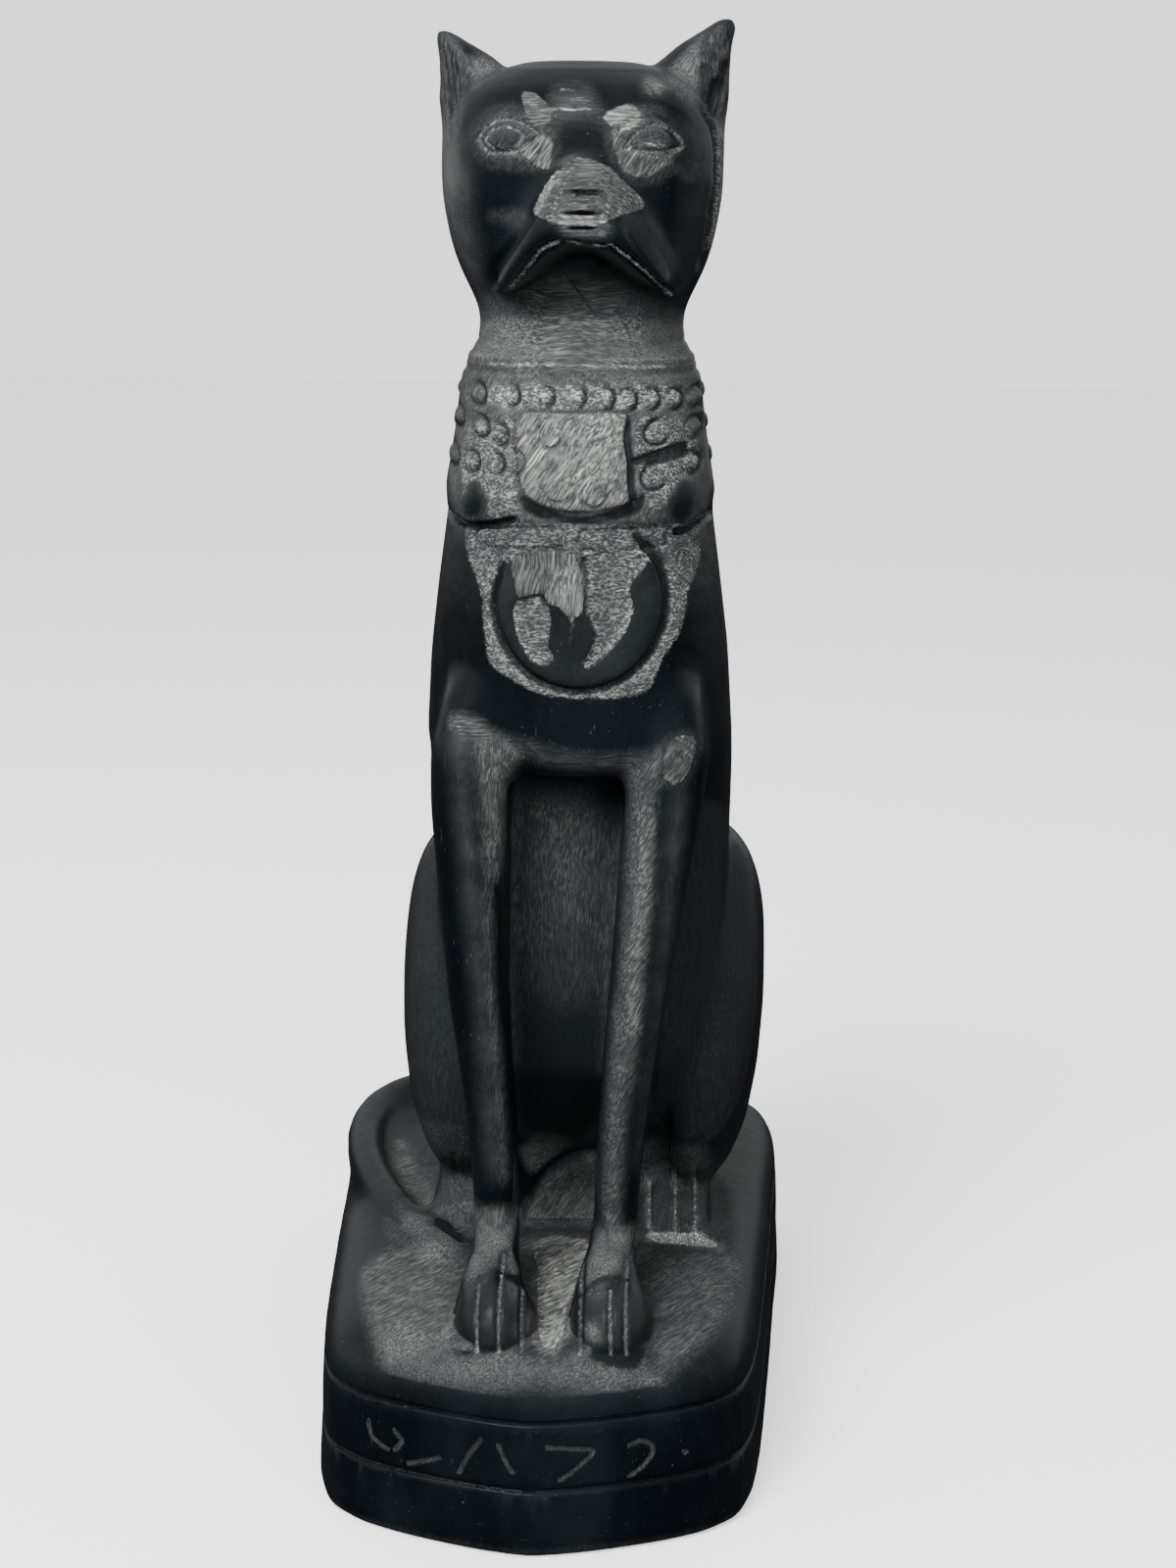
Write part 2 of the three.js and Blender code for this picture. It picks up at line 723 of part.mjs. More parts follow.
function geometryOf(manifold) {
  const mesh = manifold.getMesh();
  const positions = new Float32Array(mesh.numVert * 3);
  for (let i = 0; i < mesh.numVert; i += 1) {
    positions.set(mesh.vertProperties.subarray(i * mesh.numProp, i * mesh.numProp + 3), i * 3);
  }
  const geometry = new THREE.BufferGeometry();
  geometry.setAttribute("position", new THREE.BufferAttribute(positions, 3));
  geometry.setIndex(new THREE.BufferAttribute(mesh.triVerts, 1));
  geometry.computeVertexNormals();
  return geometry;
}

const stone = new THREE.MeshStandardMaterial({
  color: stoneColour,
  roughness: stoneRoughness,
  metalness: 0,
});

const standing = geometryOf(cat());
standing.scale(hundredth, hundredth, hundredth);
standing.translate(catOffsetX, catOffsetY, plinthHeight);
const carving = plinth().add(solid(standing));

const figure = new THREE.Group();
const catOnPlinth = new THREE.Mesh(geometryOf(carving), stone);
catOnPlinth.name = "bastet_cat_figure";
figure.add(catOnPlinth);

export default figure;
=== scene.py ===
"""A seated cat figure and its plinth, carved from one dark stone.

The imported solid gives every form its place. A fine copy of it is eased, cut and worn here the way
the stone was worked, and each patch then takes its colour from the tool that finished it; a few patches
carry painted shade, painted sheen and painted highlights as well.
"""

import math

import bpy
import numpy as np
from mathutils import Euler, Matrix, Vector


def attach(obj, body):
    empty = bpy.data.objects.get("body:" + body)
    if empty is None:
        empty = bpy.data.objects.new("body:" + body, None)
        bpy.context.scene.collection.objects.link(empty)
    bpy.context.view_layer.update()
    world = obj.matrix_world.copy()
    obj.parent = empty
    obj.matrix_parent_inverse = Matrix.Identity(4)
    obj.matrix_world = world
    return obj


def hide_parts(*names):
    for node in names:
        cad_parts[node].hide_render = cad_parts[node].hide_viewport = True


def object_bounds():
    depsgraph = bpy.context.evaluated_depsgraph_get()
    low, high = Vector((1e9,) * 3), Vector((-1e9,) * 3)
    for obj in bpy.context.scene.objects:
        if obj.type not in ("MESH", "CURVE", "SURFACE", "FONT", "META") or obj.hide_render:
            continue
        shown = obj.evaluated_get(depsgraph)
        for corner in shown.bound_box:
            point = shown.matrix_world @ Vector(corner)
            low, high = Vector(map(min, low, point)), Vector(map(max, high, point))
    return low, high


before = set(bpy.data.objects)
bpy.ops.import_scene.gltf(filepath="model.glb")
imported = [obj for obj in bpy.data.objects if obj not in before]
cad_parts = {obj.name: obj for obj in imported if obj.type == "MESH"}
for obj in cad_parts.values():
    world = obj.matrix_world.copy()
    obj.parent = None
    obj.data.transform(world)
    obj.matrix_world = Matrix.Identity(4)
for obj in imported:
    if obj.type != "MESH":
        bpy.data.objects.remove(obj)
cad_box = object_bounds()

MM = 0.001
NODE = "bastet_cat_figure"
BOX_LOW = np.array(cad_box[0]) / MM
BOX_HIGH = np.array(cad_box[1]) / MM

# The camera's place, worked out from the figure's outline in the photograph: degrees and metres.
LENS, SENSOR = 36.0, 24.0
YAW, PITCH, ROLL, PAN = 3.0, 13.36, 0.63, -0.788
CAMERA_DISTANCE, CAMERA_HEIGHT = 0.42825, 0.2194

# Spacing of the mesh while it is eased, and while it is carved, in millimetres.
EASING_GRAIN = 0.8
CARVING_GRAIN = 0.5
EASING_ROUNDS = 45
SOFTENING_ROUNDS = 5
CREASE = 22.0  # degrees between neighbouring points past which an edge stays crisp
MOST_TRIANGLES = 195000
EAR_FOOT = 243.0  # height above which the thin ears are eased less
EAR_EASING = 0.12

# How far past its edge a finish is still felt, in millimetres.
REACH = 4.0
TURNING = 12.0  # how fast a finish fades where the stone turns away from the side it is drawn from
FINISHES = ("rubbed", "scraped", "pecked")
LEVEL, SLANT, UPRIGHT, LYING = 0.0, 1.0, 2.0, 3.0  # ways that the scratches run

# Heights of the plinth's top and of the forelegs' upper end.
PLINTH_TOP, LEG_TOP = 36.0, 142.0

# The middle of the neck and the half widths of the collar round it.
NECK = (5.6, -28.5)
COLLAR_HALF = (21.0, 27.0)
COLLAR_ROUND = 24.0  # mean radius, which turns angles round the collar into millimetres


# Modelling by hand.


def alone(piece):
    """Makes a piece the only selected one."""
    bpy.ops.object.select_all(action="DESELECT")
    piece.select_set(True)
    bpy.context.view_layer.objects.active = piece


def put_in(name, data):
    """A new object in the scene."""
    made = bpy.data.objects.new(name, data)
    bpy.context.scene.collection.objects.link(made)
    return made


def mode(name):
    bpy.ops.object.mode_set(mode=name)


def apply_modifier(piece, kind, **settings):
    alone(piece)
    modifier = piece.modifiers.new(kind.lower(), kind)
    for key, value in settings.items():
        setattr(modifier, key, value)
    bpy.ops.object.modifier_apply(modifier=modifier.name)


def read(rows, name, width, kind):
    found = np.empty(len(rows) * width, kind)
    rows.foreach_get(name, found)
    return found.reshape(-1, width)


def points_of(piece):
    return read(piece.data.vertices, "co", 3, float) / MM


def place_points(piece, points):
    piece.data.vertices.foreach_set("co", (points * MM).ravel())
    piece.data.update()


def normals_of(piece):
    return read(piece.data.vertex_normals, "vector", 3, np.float32).astype(float)


def edges_of(piece):
    return read(piece.data.edges, "vertices", 2, np.int32)


def eased(values, edges, pull, rounds, free=1.0):
    """Values drawn towards their neighbours', as strongly as each edge pulls and each point is free."""
    count = len(values)
    a, b = edges.T
    half = 0.5 / np.maximum(np.bincount(a, pull, count) + np.bincount(b, pull, count), 1e-9)
    stay = (1 - 0.5 * free * np.ones(count))[:, None]
    half = (half * free)[:, None]
    for _ in range(rounds):
        drawn = [np.bincount(a, pull * column[b], count) + np.bincount(b, pull * column[a], count)
                 for column in values.T]
        values = stay * values + np.stack(drawn, axis=1) * half
    return values


def ease(piece, rounds):
    """Rounds facets into even surfaces and leaves creases, without thinning the forms."""
    points = points_of(piece)
    edges = edges_of(piece)
    normals = eased(normals_of(piece), edges, np.ones(len(edges)), 2)
    normals /= np.linalg.norm(normals, axis=1)[:, None]
    cosine = (normals[edges[:, 0]] * normals[edges[:, 1]]).sum(1)
    pull = np.exp(-((np.degrees(np.arccos(np.clip(cosine, -1, 1))) / CREASE) ** 2)) + 1e-4
    free = np.where(points[:, 2] > EAR_FOOT, EAR_EASING, 1.0)
    once = eased(points, edges, pull, rounds, free)
    again = once + eased(points - once, edges, pull, rounds, free)
    place_points(piece, np.clip(again, BOX_LOW, BOX_HIGH))


def rough_out():
    """A fine, even copy of the solid with its facets eased away."""
    piece = put_in("carved_stone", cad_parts[NODE].data.copy())
    alone(piece)
    mode("EDIT")
    bpy.ops.mesh.select_all(action="SELECT")
    bpy.ops.mesh.remove_doubles(threshold=0.002 * MM)
    mode("OBJECT")
    apply_modifier(piece, "REMESH", mode="VOXEL", voxel_size=EASING_GRAIN * MM)
    ease(piece, EASING_ROUNDS)
    apply_modifier(piece, "REMESH", mode="VOXEL", voxel_size=CARVING_GRAIN * MM)
    ease(piece, SOFTENING_ROUNDS)
    return piece


def refine(piece, chosen):
    """Halves the mesh where it will be carved finely."""
    alone(piece)
    mode("EDIT")
    bpy.ops.mesh.select_mode(type="VERT")
    bpy.ops.mesh.select_all(action="DESELECT")
    mode("OBJECT")
    piece.data.vertices.foreach_set("select", chosen)
    mode("EDIT")
    bpy.ops.mesh.select_mode(type="VERT")
    bpy.ops.mesh.subdivide(number_cuts=1, smoothness=0.0)
    mode("OBJECT")


# Flat outlines and lines, and how far points lie from them.


def curve(points, closed, step=0.4):
    """A smooth line through a few points."""
    p = np.array(points, float)
    count = len(p)
    ahead = [(i, (i + 1) % count) for i in range(count if closed else count - 1)]
    found = []
    for i, j in ahead:
        before = p[i - 1] if closed or i else p[i]
        after = p[(j + 1) % count] if closed or j < count - 1 else p[j]
        cuts = max(2, int(np.linalg.norm(p[j] - p[i]) / step))
        for t in np.arange(cuts) / cuts:
            bend = 2 * before - 5 * p[i] + 4 * p[j] - after
            twist = 3 * p[i] - before - 3 * p[j] + after
            found.append(0.5 * (2 * p[i] + (p[j] - before) * t + bend * t**2 + twist * t**3))
    if not closed:
        found.append(p[-1])
    return np.array(found)


def reach_of(flat, a, b):
    """How far flat points lie from each short line from a to b, and how far along it."""
    ahead = b - a
    along = np.clip(((flat - a) @ ahead) / max(ahead @ ahead, 1e-12), 0, 1)
    return np.linalg.norm(flat - a - along[:, None] * ahead, axis=1), along


def inside(flat, outline):
    """How far inside a closed outline flat points lie, negative outside it."""
    far = np.full(len(flat), np.inf)
    within = np.zeros(len(flat), bool)
    for a, b in zip(outline, np.roll(outline, -1, axis=0)):
        far = np.minimum(far, reach_of(flat, a, b)[0])
        if a[1] != b[1]:
            crosses = (a[1] > flat[:, 1]) != (b[1] > flat[:, 1])
            at = a[0] + (flat[:, 1] - a[1]) * (b[0] - a[0]) / (b[1] - a[1])
            within ^= crosses & (flat[:, 0] < at)
    return np.where(within, far, -far)


def beside(flat, line):
    """How far flat points lie from a line, and how far along it, from 0 to 1."""
    far = np.full(len(flat), np.inf)
    share = np.zeros(len(flat))
    parts = len(line) - 1
    for k in range(parts):
        away, along = reach_of(flat, line[k], line[k + 1])
        nearer = away < far
        far = np.where(nearer, away, far)
        share = np.where(nearer, (k + along) / parts, share)
    return far, share


def soft_step(value):
    value = np.clip(value, 0, 1)
    return value * value * (3 - 2 * value)


class Stone:
    """The stone while it is carved. Lengths are in millimetres, and depths go into the stone."""

    def __init__(self, piece):
        self.piece = piece
        self.points = points_of(piece)
        self.normals = normals_of(piece)
        self.finish = {name: np.full(len(self.points), -REACH) for name in FINISHES}
        below_chest = (self.points[:, 2] > PLINTH_TOP) & (self.points[:, 2] < LEG_TOP)
        self.lay = np.where(below_chest, UPRIGHT, LEVEL)
        self.tone = np.full(len(self.points), 0.5)
        self.carved = np.zeros(len(self.points))
        self.haze = np.zeros(len(self.points))

    def front(self):
        return self.points[:, [0, 2]], -0.12 - self.normals[:, 1]

    def top(self):
        return self.points[:, [0, 1]], self.normals[:, 2] - 0.35

    def round_collar(self):
        x = (self.points[:, 0] - NECK[0]) / COLLAR_HALF[0]
        y = (self.points[:, 1] - NECK[1]) / COLLAR_HALF[1]
        around = np.arctan2(x, -y) * COLLAR_ROUND
        return np.stack([around, self.points[:, 2]], axis=1), np.hypot(x, y) - 0.6

    def right_side(self):
        return self.points[:, [1, 2]], self.normals[:, 0] - 0.12

    def within(self, view, span):
        """A view of what lies in a span: an axis, 0 for x to 2 for z, and two places along it."""
        axis, least, most = span

        def narrow():
            flat, facing = view()
            shown = (self.points[:, axis] > least) & (self.points[:, axis] < most)
            return flat, np.where(shown, facing, -1.0)

        return narrow

    def near(self, view, drawn, margin):
        """The points that a view shows within a margin of a drawing, and where it shows them."""
        flat, facing = view()
        low, high = drawn.min(0) - margin, drawn.max(0) + margin
        index = np.nonzero((facing > 0) & (flat >= low).all(1) & (flat <= high).all(1))[0]
        return index, flat[index]

    def field(self, view, outline, margin, step=0.4):
        """The points within a margin of a closed outline, and how far inside it they lie."""
        drawn = curve(outline, True, step)
        index, flat = self.near(view, drawn, margin)
        return index, inside(flat, drawn)

    def move(self, index, depth):
        self.points[index] -= self.normals[index] * depth[:, None]
        self.carved[index] += depth

    def settle(self):
        """Puts the moved points in the mesh and takes new normals from it."""
        place_points(self.piece, self.points)
        self.normals = normals_of(self.piece)

    def sink(self, view, outline, depth, edge):
        """Lowers a closed field by a depth, or raises it by a negative one."""
        index, within = self.field(view, outline, edge)
        self.move(index, depth * soft_step(0.5 + within / edge))

    def cut(self, view, line, width, depth, taper=0.15):
        """A cut of a width and a depth along a line, which thins out at its ends."""
        drawn = curve(line, False)
        index, flat = self.near(view, drawn, width)
        away, share = beside(flat, drawn)
        ends = soft_step(np.minimum(share, 1 - share) / taper) if taper else 1.0
        self.move(index, depth * ends * soft_step(1 - away / width))

    def finish_off(self, name, index, depth, lay, tone):
        kept = self.finish[name][index]
        self.finish[name][index] = np.maximum(kept, np.clip(depth, -REACH, REACH))
        if lay is not None:
            self.lay[index] = np.where(depth > -1, lay, self.lay[index])
        if tone is not None:
            self.tone[index] = np.where(depth > -0.6, tone, self.tone[index])

    def mark(self, name, view, outline, lay, tone, grow=0.0):
        """Gives a closed field a finish, in a tone from 0, dark, to 1, light."""
        index, within = self.field(view, outline, REACH)
        depth = np.minimum(within + grow, TURNING * view()[1][index] - 1)
        self.finish_off(name, index, depth, lay, tone)

    def mark_all(self, view, fields):
        """Marks fields, each a finish, an outline, the way of its scratches and a tone."""
        for name, outline, lay, tone in fields:
            self.mark(name, view, outline, lay, tone)

    def stroke(self, name, view, line, width, lay, tone):
        """Gives a finish along a line."""
        drawn = curve(line, False)
        index, flat = self.near(view, drawn, REACH + width)
        away, _ = beside(flat, drawn)
        self.finish_off(name, index, width / 2 - away, lay, tone)
        self.carved[index] = np.where(away < width, 0, self.carved[index])

    def spare(self, view, outline):
        """Leaves a closed field polished."""
        index, within = self.field(view, outline, REACH)
        for kept in self.finish.values():
            kept[index] = np.minimum(kept[index], -within)

    def cloud_over(self, view, outline, level, border):
        """Leaves the polish in a closed field hazy, up to a level, with a soft border."""
        index, within = self.field(view, outline, border, 1.0)
        haze = level * soft_step(0.5 + 0.5 * within / border) * soft_step(3 * view()[1][index])
        self.haze[index] = np.maximum(self.haze[index], haze)

    def box_depth(self, low, high):
        """How far inside a box each point lies."""
        return np.minimum(self.points - low, high - self.points).min(1)

    def net(self, within, least, which):
        """The points of the edges of which any or all ends lie past a depth, and those edges."""
        edges = edges_of(self.piece)
        here, local = np.unique(edges[which(within[edges] > least, axis=1)], return_inverse=True)
        return here, local.reshape(-1, 2)

    def soften(self, low, high, rounds):
        """Rubs the forms in a box smooth."""
        within = self.box_depth(low, high)
        here, edges = self.net(within, -3, np.any)
        free = soft_step(within[here] / 2.0)
        self.points[here] = eased(self.points[here], edges, np.ones(len(edges)), rounds, free)
        self.settle()

    def blend(self, low, high, rounds):
        """Lets the tones in a box run into each other."""
        here, edges = self.net(self.box_depth(low, high), 0, np.all)
        self.tone[here] = eased(self.tone[here][:, None], edges, np.ones(len(edges)), rounds)[:, 0]

    def push(self, centre, radii, way):
        """Moves the points round a centre, less towards the edge of an egg of these radii."""
        away = np.linalg.norm((self.points - centre) / radii, axis=1)
        self.points += soft_step(1 - away)[:, None] * way

    def swell(self, centre, radii, low, high):
        """Draws the points in a box on to an egg of these radii, more the further they are inside it."""
        within = self.box_depth(low, high)
        index = np.nonzero(within > 0)[0]
        arm = (self.points[index] - centre) / radii
        far = np.linalg.norm(arm, axis=1)
        there = centre + arm / np.maximum(far, 0.2)[:, None] * radii
        share = soft_step(within[index] / 1.5)[:, None]
        self.points[index] += (there - self.points[index]) * share


# The face.

FACE = (1, -80, -30)  # only what lies in front of the ears
HEAD_FRONT = (1, -60, -10)
RIGHT_JAW = (0, 5, 40)
MUZZLE_TOP = [(5.5, 229.3), (2.6, 227), (0.6, 224.5), (-0.8, 221.6), (0.4, 220.6), (4, 219.6), (8, 219.4),
              (12, 221), (15.6, 222.6), (12.8, 225.4), (10, 228)]
MUZZLE_EDGE = [(2.2, 227.2), (0.4, 224.6), (-0.9, 221.6)]
NOSE_SLOTS = [[(3.4, 224.5), (9.9, 224.1)], [(3.2, 221.3), (9.8, 221.2)], [(4.0, 218.9), (9.1, 218.9)]]
BEVEL = [(-1.3, 221.1), (-3.9, 217.3), (-6.5, 214.5), (-8.1, 212.5), (-8.2, 210.5), (-7.5, 209.5)]
SLITS = [([(3, 217), (0.6, 216), (-1.4, 213.8), (-3.4, 211.5), (-4.8, 209.8)], 1.1),
         ([(11, 216.6), (14.2, 214.2), (17.2, 211.6), (20.2, 208.6)], 0.8)]
LIPS = [(4.6, 217.1), (7.4, 216.5), (10.6, 216.5)]
LEFT_EYE = [(-10.2, 232.2), (-8.4, 234.3), (-5.6, 235.1), (-3, 234.4), (-0.8, 232.8), (-3, 231), (-5, 230.1),
            (-8.2, 230.2)]
LEFT_PUPIL = [(-9.2, 232.1), (-7.6, 233.6), (-5.4, 234), (-3.2, 232.8), (-4.6, 231), (-7, 230.4)]
RIGHT_EYE = [(12.6, 231.2), (14.4, 233.2), (17, 234.5), (19.6, 233.7), (21.4, 231.6), (19.2, 230.6),
             (15.6, 230.6)]
RIGHT_LID = [(10.6, 233.4), (13.4, 235.2), (17, 236), (20.4, 235)]
JAW_CHANNEL = [(-45, 238.5), (-42.6, 235), (-42.4, 228), (-42.2, 223), (-40.6, 218), (-38.6, 212)]
TEMPLE = [(-50.5, 237), (-48.4, 234.5), (-48.2, 230), (-50, 227), (-52.5, 231)]
EYE_FIELDS = [
    ("rubbed", [(-11, 232.5), (-8.6, 236), (-4, 236.6), (1.4, 234), (1, 229), (-4, 228.2), (-9, 229)],
     SLANT, 0.26),
    ("rubbed", [(10, 234), (13, 236), (17, 236.6), (21.4, 234), (22.6, 231), (19, 227.6), (13, 226.6)],
     SLANT, 0.26),
]
LIGHT_SPOTS = [
    ("rubbed", [(3.6, 219.8), (9.8, 219.6), (9.6, 217.8), (5, 217.7)], LEVEL, 0.9),
    ("scraped", [(4.6, 220.6), (9.4, 220.4), (9, 219.6), (5.4, 219.6)], LEVEL, 0.6),
    ("scraped", [(-3.6, 239.4), (-1.8, 239.2), (0.4, 237.4), (0.8, 234.4), (-1.2, 234.2), (-2.8, 236.4)],
     LEVEL, 0.24),
    ("scraped", [(9.4, 235.2), (11, 237), (13.8, 237.5), (15, 235.6), (13.2, 233.7), (11.2, 234)],
     LEVEL, 0.6),
    ("rubbed", [(15.6, 241.2), (16.6, 242.2), (18.6, 240.6), (17.8, 239.6), (16, 239.8)], LEVEL, 0.9),
    ("scraped", [(-3.8, 231), (-1, 232.2), (1.2, 232.6), (1, 228), (-1.4, 228.6)], SLANT, 0.4),
    ("scraped", [(13.2, 231), (15.2, 231.8), (17.8, 231.6), (20.6, 231.2), (17, 230.2)], LEVEL, 0.55),
    ("scraped", [(10.6, 234), (11.4, 229.6), (12.6, 227.4), (15.5, 226.8), (19, 228.4), (21.6, 231.2),
     (18, 229.8), (14, 231)], SLANT, 0.24),
]
FOREHEAD = [(1.4, 240.4), (7, 240.4), (8.4, 236), (1, 236)]
FOREHEAD_SCRATCHES = [(239.6, 2.2, 5.6, 0.25), (238.3, 3, 7.2, 0.35), (236.8, 1.4, 7.8, 0.5)]
NECK_FIELDS = [
    ("rubbed", [(-12, 206), (-9, 208.5), (-4, 209.4), (2.5, 212.4), (8, 212.4), (14.5, 210.6), (19, 207.2),
     (22.4, 204), (23, 197.5), (-13, 197.5)], LEVEL, 0.34),
    ("rubbed", [(-12.5, 203), (4, 204.5), (22.4, 203), (23, 197), (-13, 197)], LEVEL, 0.75),
]
LEFT_LIP_DASHES = [(-8.8, 220.6), (-6, 221.6), (-2.6, 221), (-3, 219), (-5.6, 219.6)]
RIGHT_LIP = [(13.5, 220.5), (16, 219.5), (20, 215), (22, 211), (20.5, 210), (17, 213.5), (14, 217.5)]
CRACKS = [[(2.4, 212.8), (4.6, 210), (6.6, 207.4), (8.8, 204.6)], [(-2, 209.2), (0.8, 208.2), (4.2, 208)]]
LEFT_CHEEK = [(-19, 234), (-15.4, 232), (-13.4, 222), (-12.4, 212), (-13, 204), (-18, 203), (-21, 214),
              (-20.6, 226)]
RIGHT_CHEEK = [(22.5, 236), (26, 232), (26, 216), (21, 206), (20, 214), (22, 226)]
BEHIND_JAW = [(-42.5, 233), (-38, 234), (-33.5, 231), (-32, 226), (-32, 222), (-36, 217.5), (-40.5, 215),
              (-43, 219), (-43.4, 226)]


def face(stone):
    front = stone.within(stone.front, FACE)
    head = stone.within(stone.front, HEAD_FRONT)
    side = stone.within(stone.right_side, RIGHT_JAW)
    stone.soften((8, -80, 203), (30, -40, 226), rounds=400)
    stone.sink(front, MUZZLE_TOP, 0.15, 0.5)
    for slot in NOSE_SLOTS:
        stone.cut(front, slot, 0.42, 1.8, taper=0.45)
    stone.cut(front, BEVEL, 1.3, 0.9, taper=0.1)
    for slit, width in SLITS:
        stone.cut(front, slit, width, 0.9, taper=0.12)
    stone.cut(front, LIPS, 0.6, 0.5)
    for eye in (LEFT_EYE, RIGHT_EYE):
        stone.cut(front, eye + eye[:1], 0.7, 0.45, taper=0)
    stone.cut(front, LEFT_PUPIL + LEFT_PUPIL[:1], 0.5, 0.3, taper=0)
    stone.cut(front, RIGHT_LID, 0.7, 0.35)
    for crack in CRACKS:
        stone.cut(front, crack, 0.35, 0.35)
    stone.cut(side, JAW_CHANNEL, 2.4, 1.0, taper=0.12)
    stone.sink(side, TEMPLE, 0.7, 2.4)
    stone.settle()

    stone.mark_all(front, EYE_FIELDS)
    stone.mark("scraped", front, MUZZLE_TOP, LEVEL, 0.2, grow=0.2)
    stone.stroke("scraped", front, MUZZLE_EDGE, 0.6, LEVEL, 0.55)
    stone.mark_all(front, LIGHT_SPOTS)
    for eye in (LEFT_EYE, LEFT_PUPIL, RIGHT_EYE):
        stone.stroke("scraped", front, eye + eye[:1], 0.35, None, 0.34)
    stone.mark("rubbed", front, FOREHEAD, LEVEL, 0.3, grow=-0.6)
    for height, start, end, tone in FOREHEAD_SCRATCHES:
        stone.stroke("scraped", front, [(start, height), (end, height - 0.1)], 0.42, LEVEL, tone)
    for slit, width in SLITS:
        stone.stroke("scraped", front, slit, 0.45 * width, LEVEL, 0.55)
    stone.stroke("scraped", front, LIPS, 0.3, LEVEL, 0.5)
    for (x, z), (far, _) in NOSE_SLOTS:
        stone.spare(front, [(x, z), (x + 3, z + 0.3), (far, z), (x + 3, z - 0.25)])
    stone.mark_all(front, NECK_FIELDS)
    stone.mark("rubbed", front, LEFT_LIP_DASHES, UPRIGHT, 0.4, grow=-0.6)
    stone.mark("rubbed", front, RIGHT_LIP, LEVEL, 0.03, grow=-0.4)
    stone.cloud_over(head, LEFT_CHEEK, 1.0, 4.5)
    stone.cloud_over(head, RIGHT_CHEEK, 0.18, 2.5)
    stone.mark("pecked", side, BEHIND_JAW, None, 0.6)
    stone.blend((-18, -80, 197), (26, -30, 213), rounds=12)
    stone.blend((-14, -80, 226), (26, -30, 243), rounds=3)


# The ears.

EARS = (1, -48, -26)
EAR_FROM_MIDDLE = 12  # how far from the head's middle the ears begin
TALLER_EAR = 2.2  # how much higher the cat's left ear is
EAR_LEAN = {-1: -0.8, 1: 1.0}  # how far sideways each ear's tip is drawn
EAR_LINES = [
    [(-17.8, 247.5), (-16.8, 242), (-16.2, 236)],
    [(-16.8, 248), (-15.9, 242), (-15.2, 235)],
    [(-15.9, 247), (-15, 242), (-14.4, 236.5)],
    [(-17, 239), (-15.8, 235.5), (-15.4, 232.5)],
    [(28.6, 246), (27.8, 241), (26.6, 236)],
    [(27.6, 244.5), (26.8, 240.5), (25.8, 236)],
    [(26.4, 242.5), (26, 239.5), (25.2, 237)],
]
RIGHT_EAR_PITS = [(27.4, 248.2, 1.1), (26.4, 245.6, 0.9), (28, 244.2, 0.9), (25.2, 243.4, 1.0),
                  (26.6, 241.4, 1.1), (25.2, 239.6, 0.8)]
EAR_FIELDS = [
    ("rubbed", [(-18.4, 248), (-15.6, 248.4), (-13.8, 243), (-13.4, 237), (-15.4, 232), (-17.4, 239)],
     UPRIGHT, 0.45),
    ("rubbed", [(-12.8, 245), (-9, 245.4), (-8.4, 243), (-12, 240)], SLANT, 0.6),
    ("rubbed", [(24.4, 249), (22, 246.5), (19, 243.5), (18.8, 241), (20.5, 240), (23.6, 238), (24, 243)],
     SLANT, 0.65),
    ("rubbed", [(24.6, 248), (28, 250), (28.6, 243), (27, 236), (25, 238)], UPRIGHT, 0.35),
]


def circle(x, z, radius, parts=12, taller=1.0):
    turns = np.radians(range(0, 360, 360 // parts))
    return [(x + radius * math.cos(a), z + taller * radius * math.sin(a)) for a in turns]


def ears(stone):
    front = stone.within(stone.front, EARS)
    for side in (-1, 1):
        outwards = side * (stone.points[:, 0] - NECK[0])
        index = np.nonzero((stone.points[:, 2] > EAR_FOOT) & (outwards > EAR_FROM_MIDDLE))[0]
        heights = stone.points[index, 2]
        tip = BOX_HIGH[2] if side > 0 else BOX_HIGH[2] - TALLER_EAR
        share = (heights - EAR_FOOT) / (heights.max() - EAR_FOOT)
        stone.points[index, 2] += (tip - heights.max()) * share**2
        stone.points[index, 0] += EAR_LEAN[side] * share**2
    stone.settle()
    for line in EAR_LINES:
        stone.cut(front, line, 0.6, 0.5)
    for x, z, radius in RIGHT_EAR_PITS:
        stone.sink(front, circle(x, z, radius, 6, taller=1.3), 0.35, 0.8)
    stone.settle()
    stone.mark_all(front, EAR_FIELDS)


# The collar.

BEAD_ROWS = (193.2, 188.0, 182.6)
BEAD_STEP = 4.9
SIDE_BEADS = 30.0  # beads further round than this stand at even steps
FRONT_BEADS = [(-11, 193), (-5.2, 193.2), (0.5, 193.2), (5.6, 193.2), (10.2, 193), (13.8, 192.8),
               (17.4, 192.8), (21, 192.6), (24.4, 192.4), (-15, 188.8), (-10.4, 188), (-7, 187),
               (24.2, 187.8), (-15.8, 182.6), (-11.8, 182.4), (-7.6, 182.6), (-4.1, 182.8), (24, 182.4)]
BEAD = {"radius": 1.5, "height": 0.42, "ring": 0.7, "ring_depth": 0.75}
BEAD_PITS = [(-7.4, 182.5, 0.9), (-4.1, 182.9, 0.9)]
COLLAR_LINES = [(196.6, 0.3), (198.6, -0.25), (201.2, 0.2)]  # heights and depths of the lines round it
TABLET = [(-3.4, 190.2), (4, 190.6), (12.4, 190.7), (13.5, 189), (13.9, 183), (14.4, 177.8), (12, 176.6),
          (6, 175.8), (0.5, 176.6), (-2.6, 179), (-3.6, 184.5)]
TABLET_SIDE = [(14.1, 190.4), (13.8, 187), (14.4, 183.5), (14.6, 179.5), (15.3, 175.6)]
DARK_SLOT = [(15.2, 184), (22.8, 185.8), (22.4, 183.4), (15.4, 182.8)]
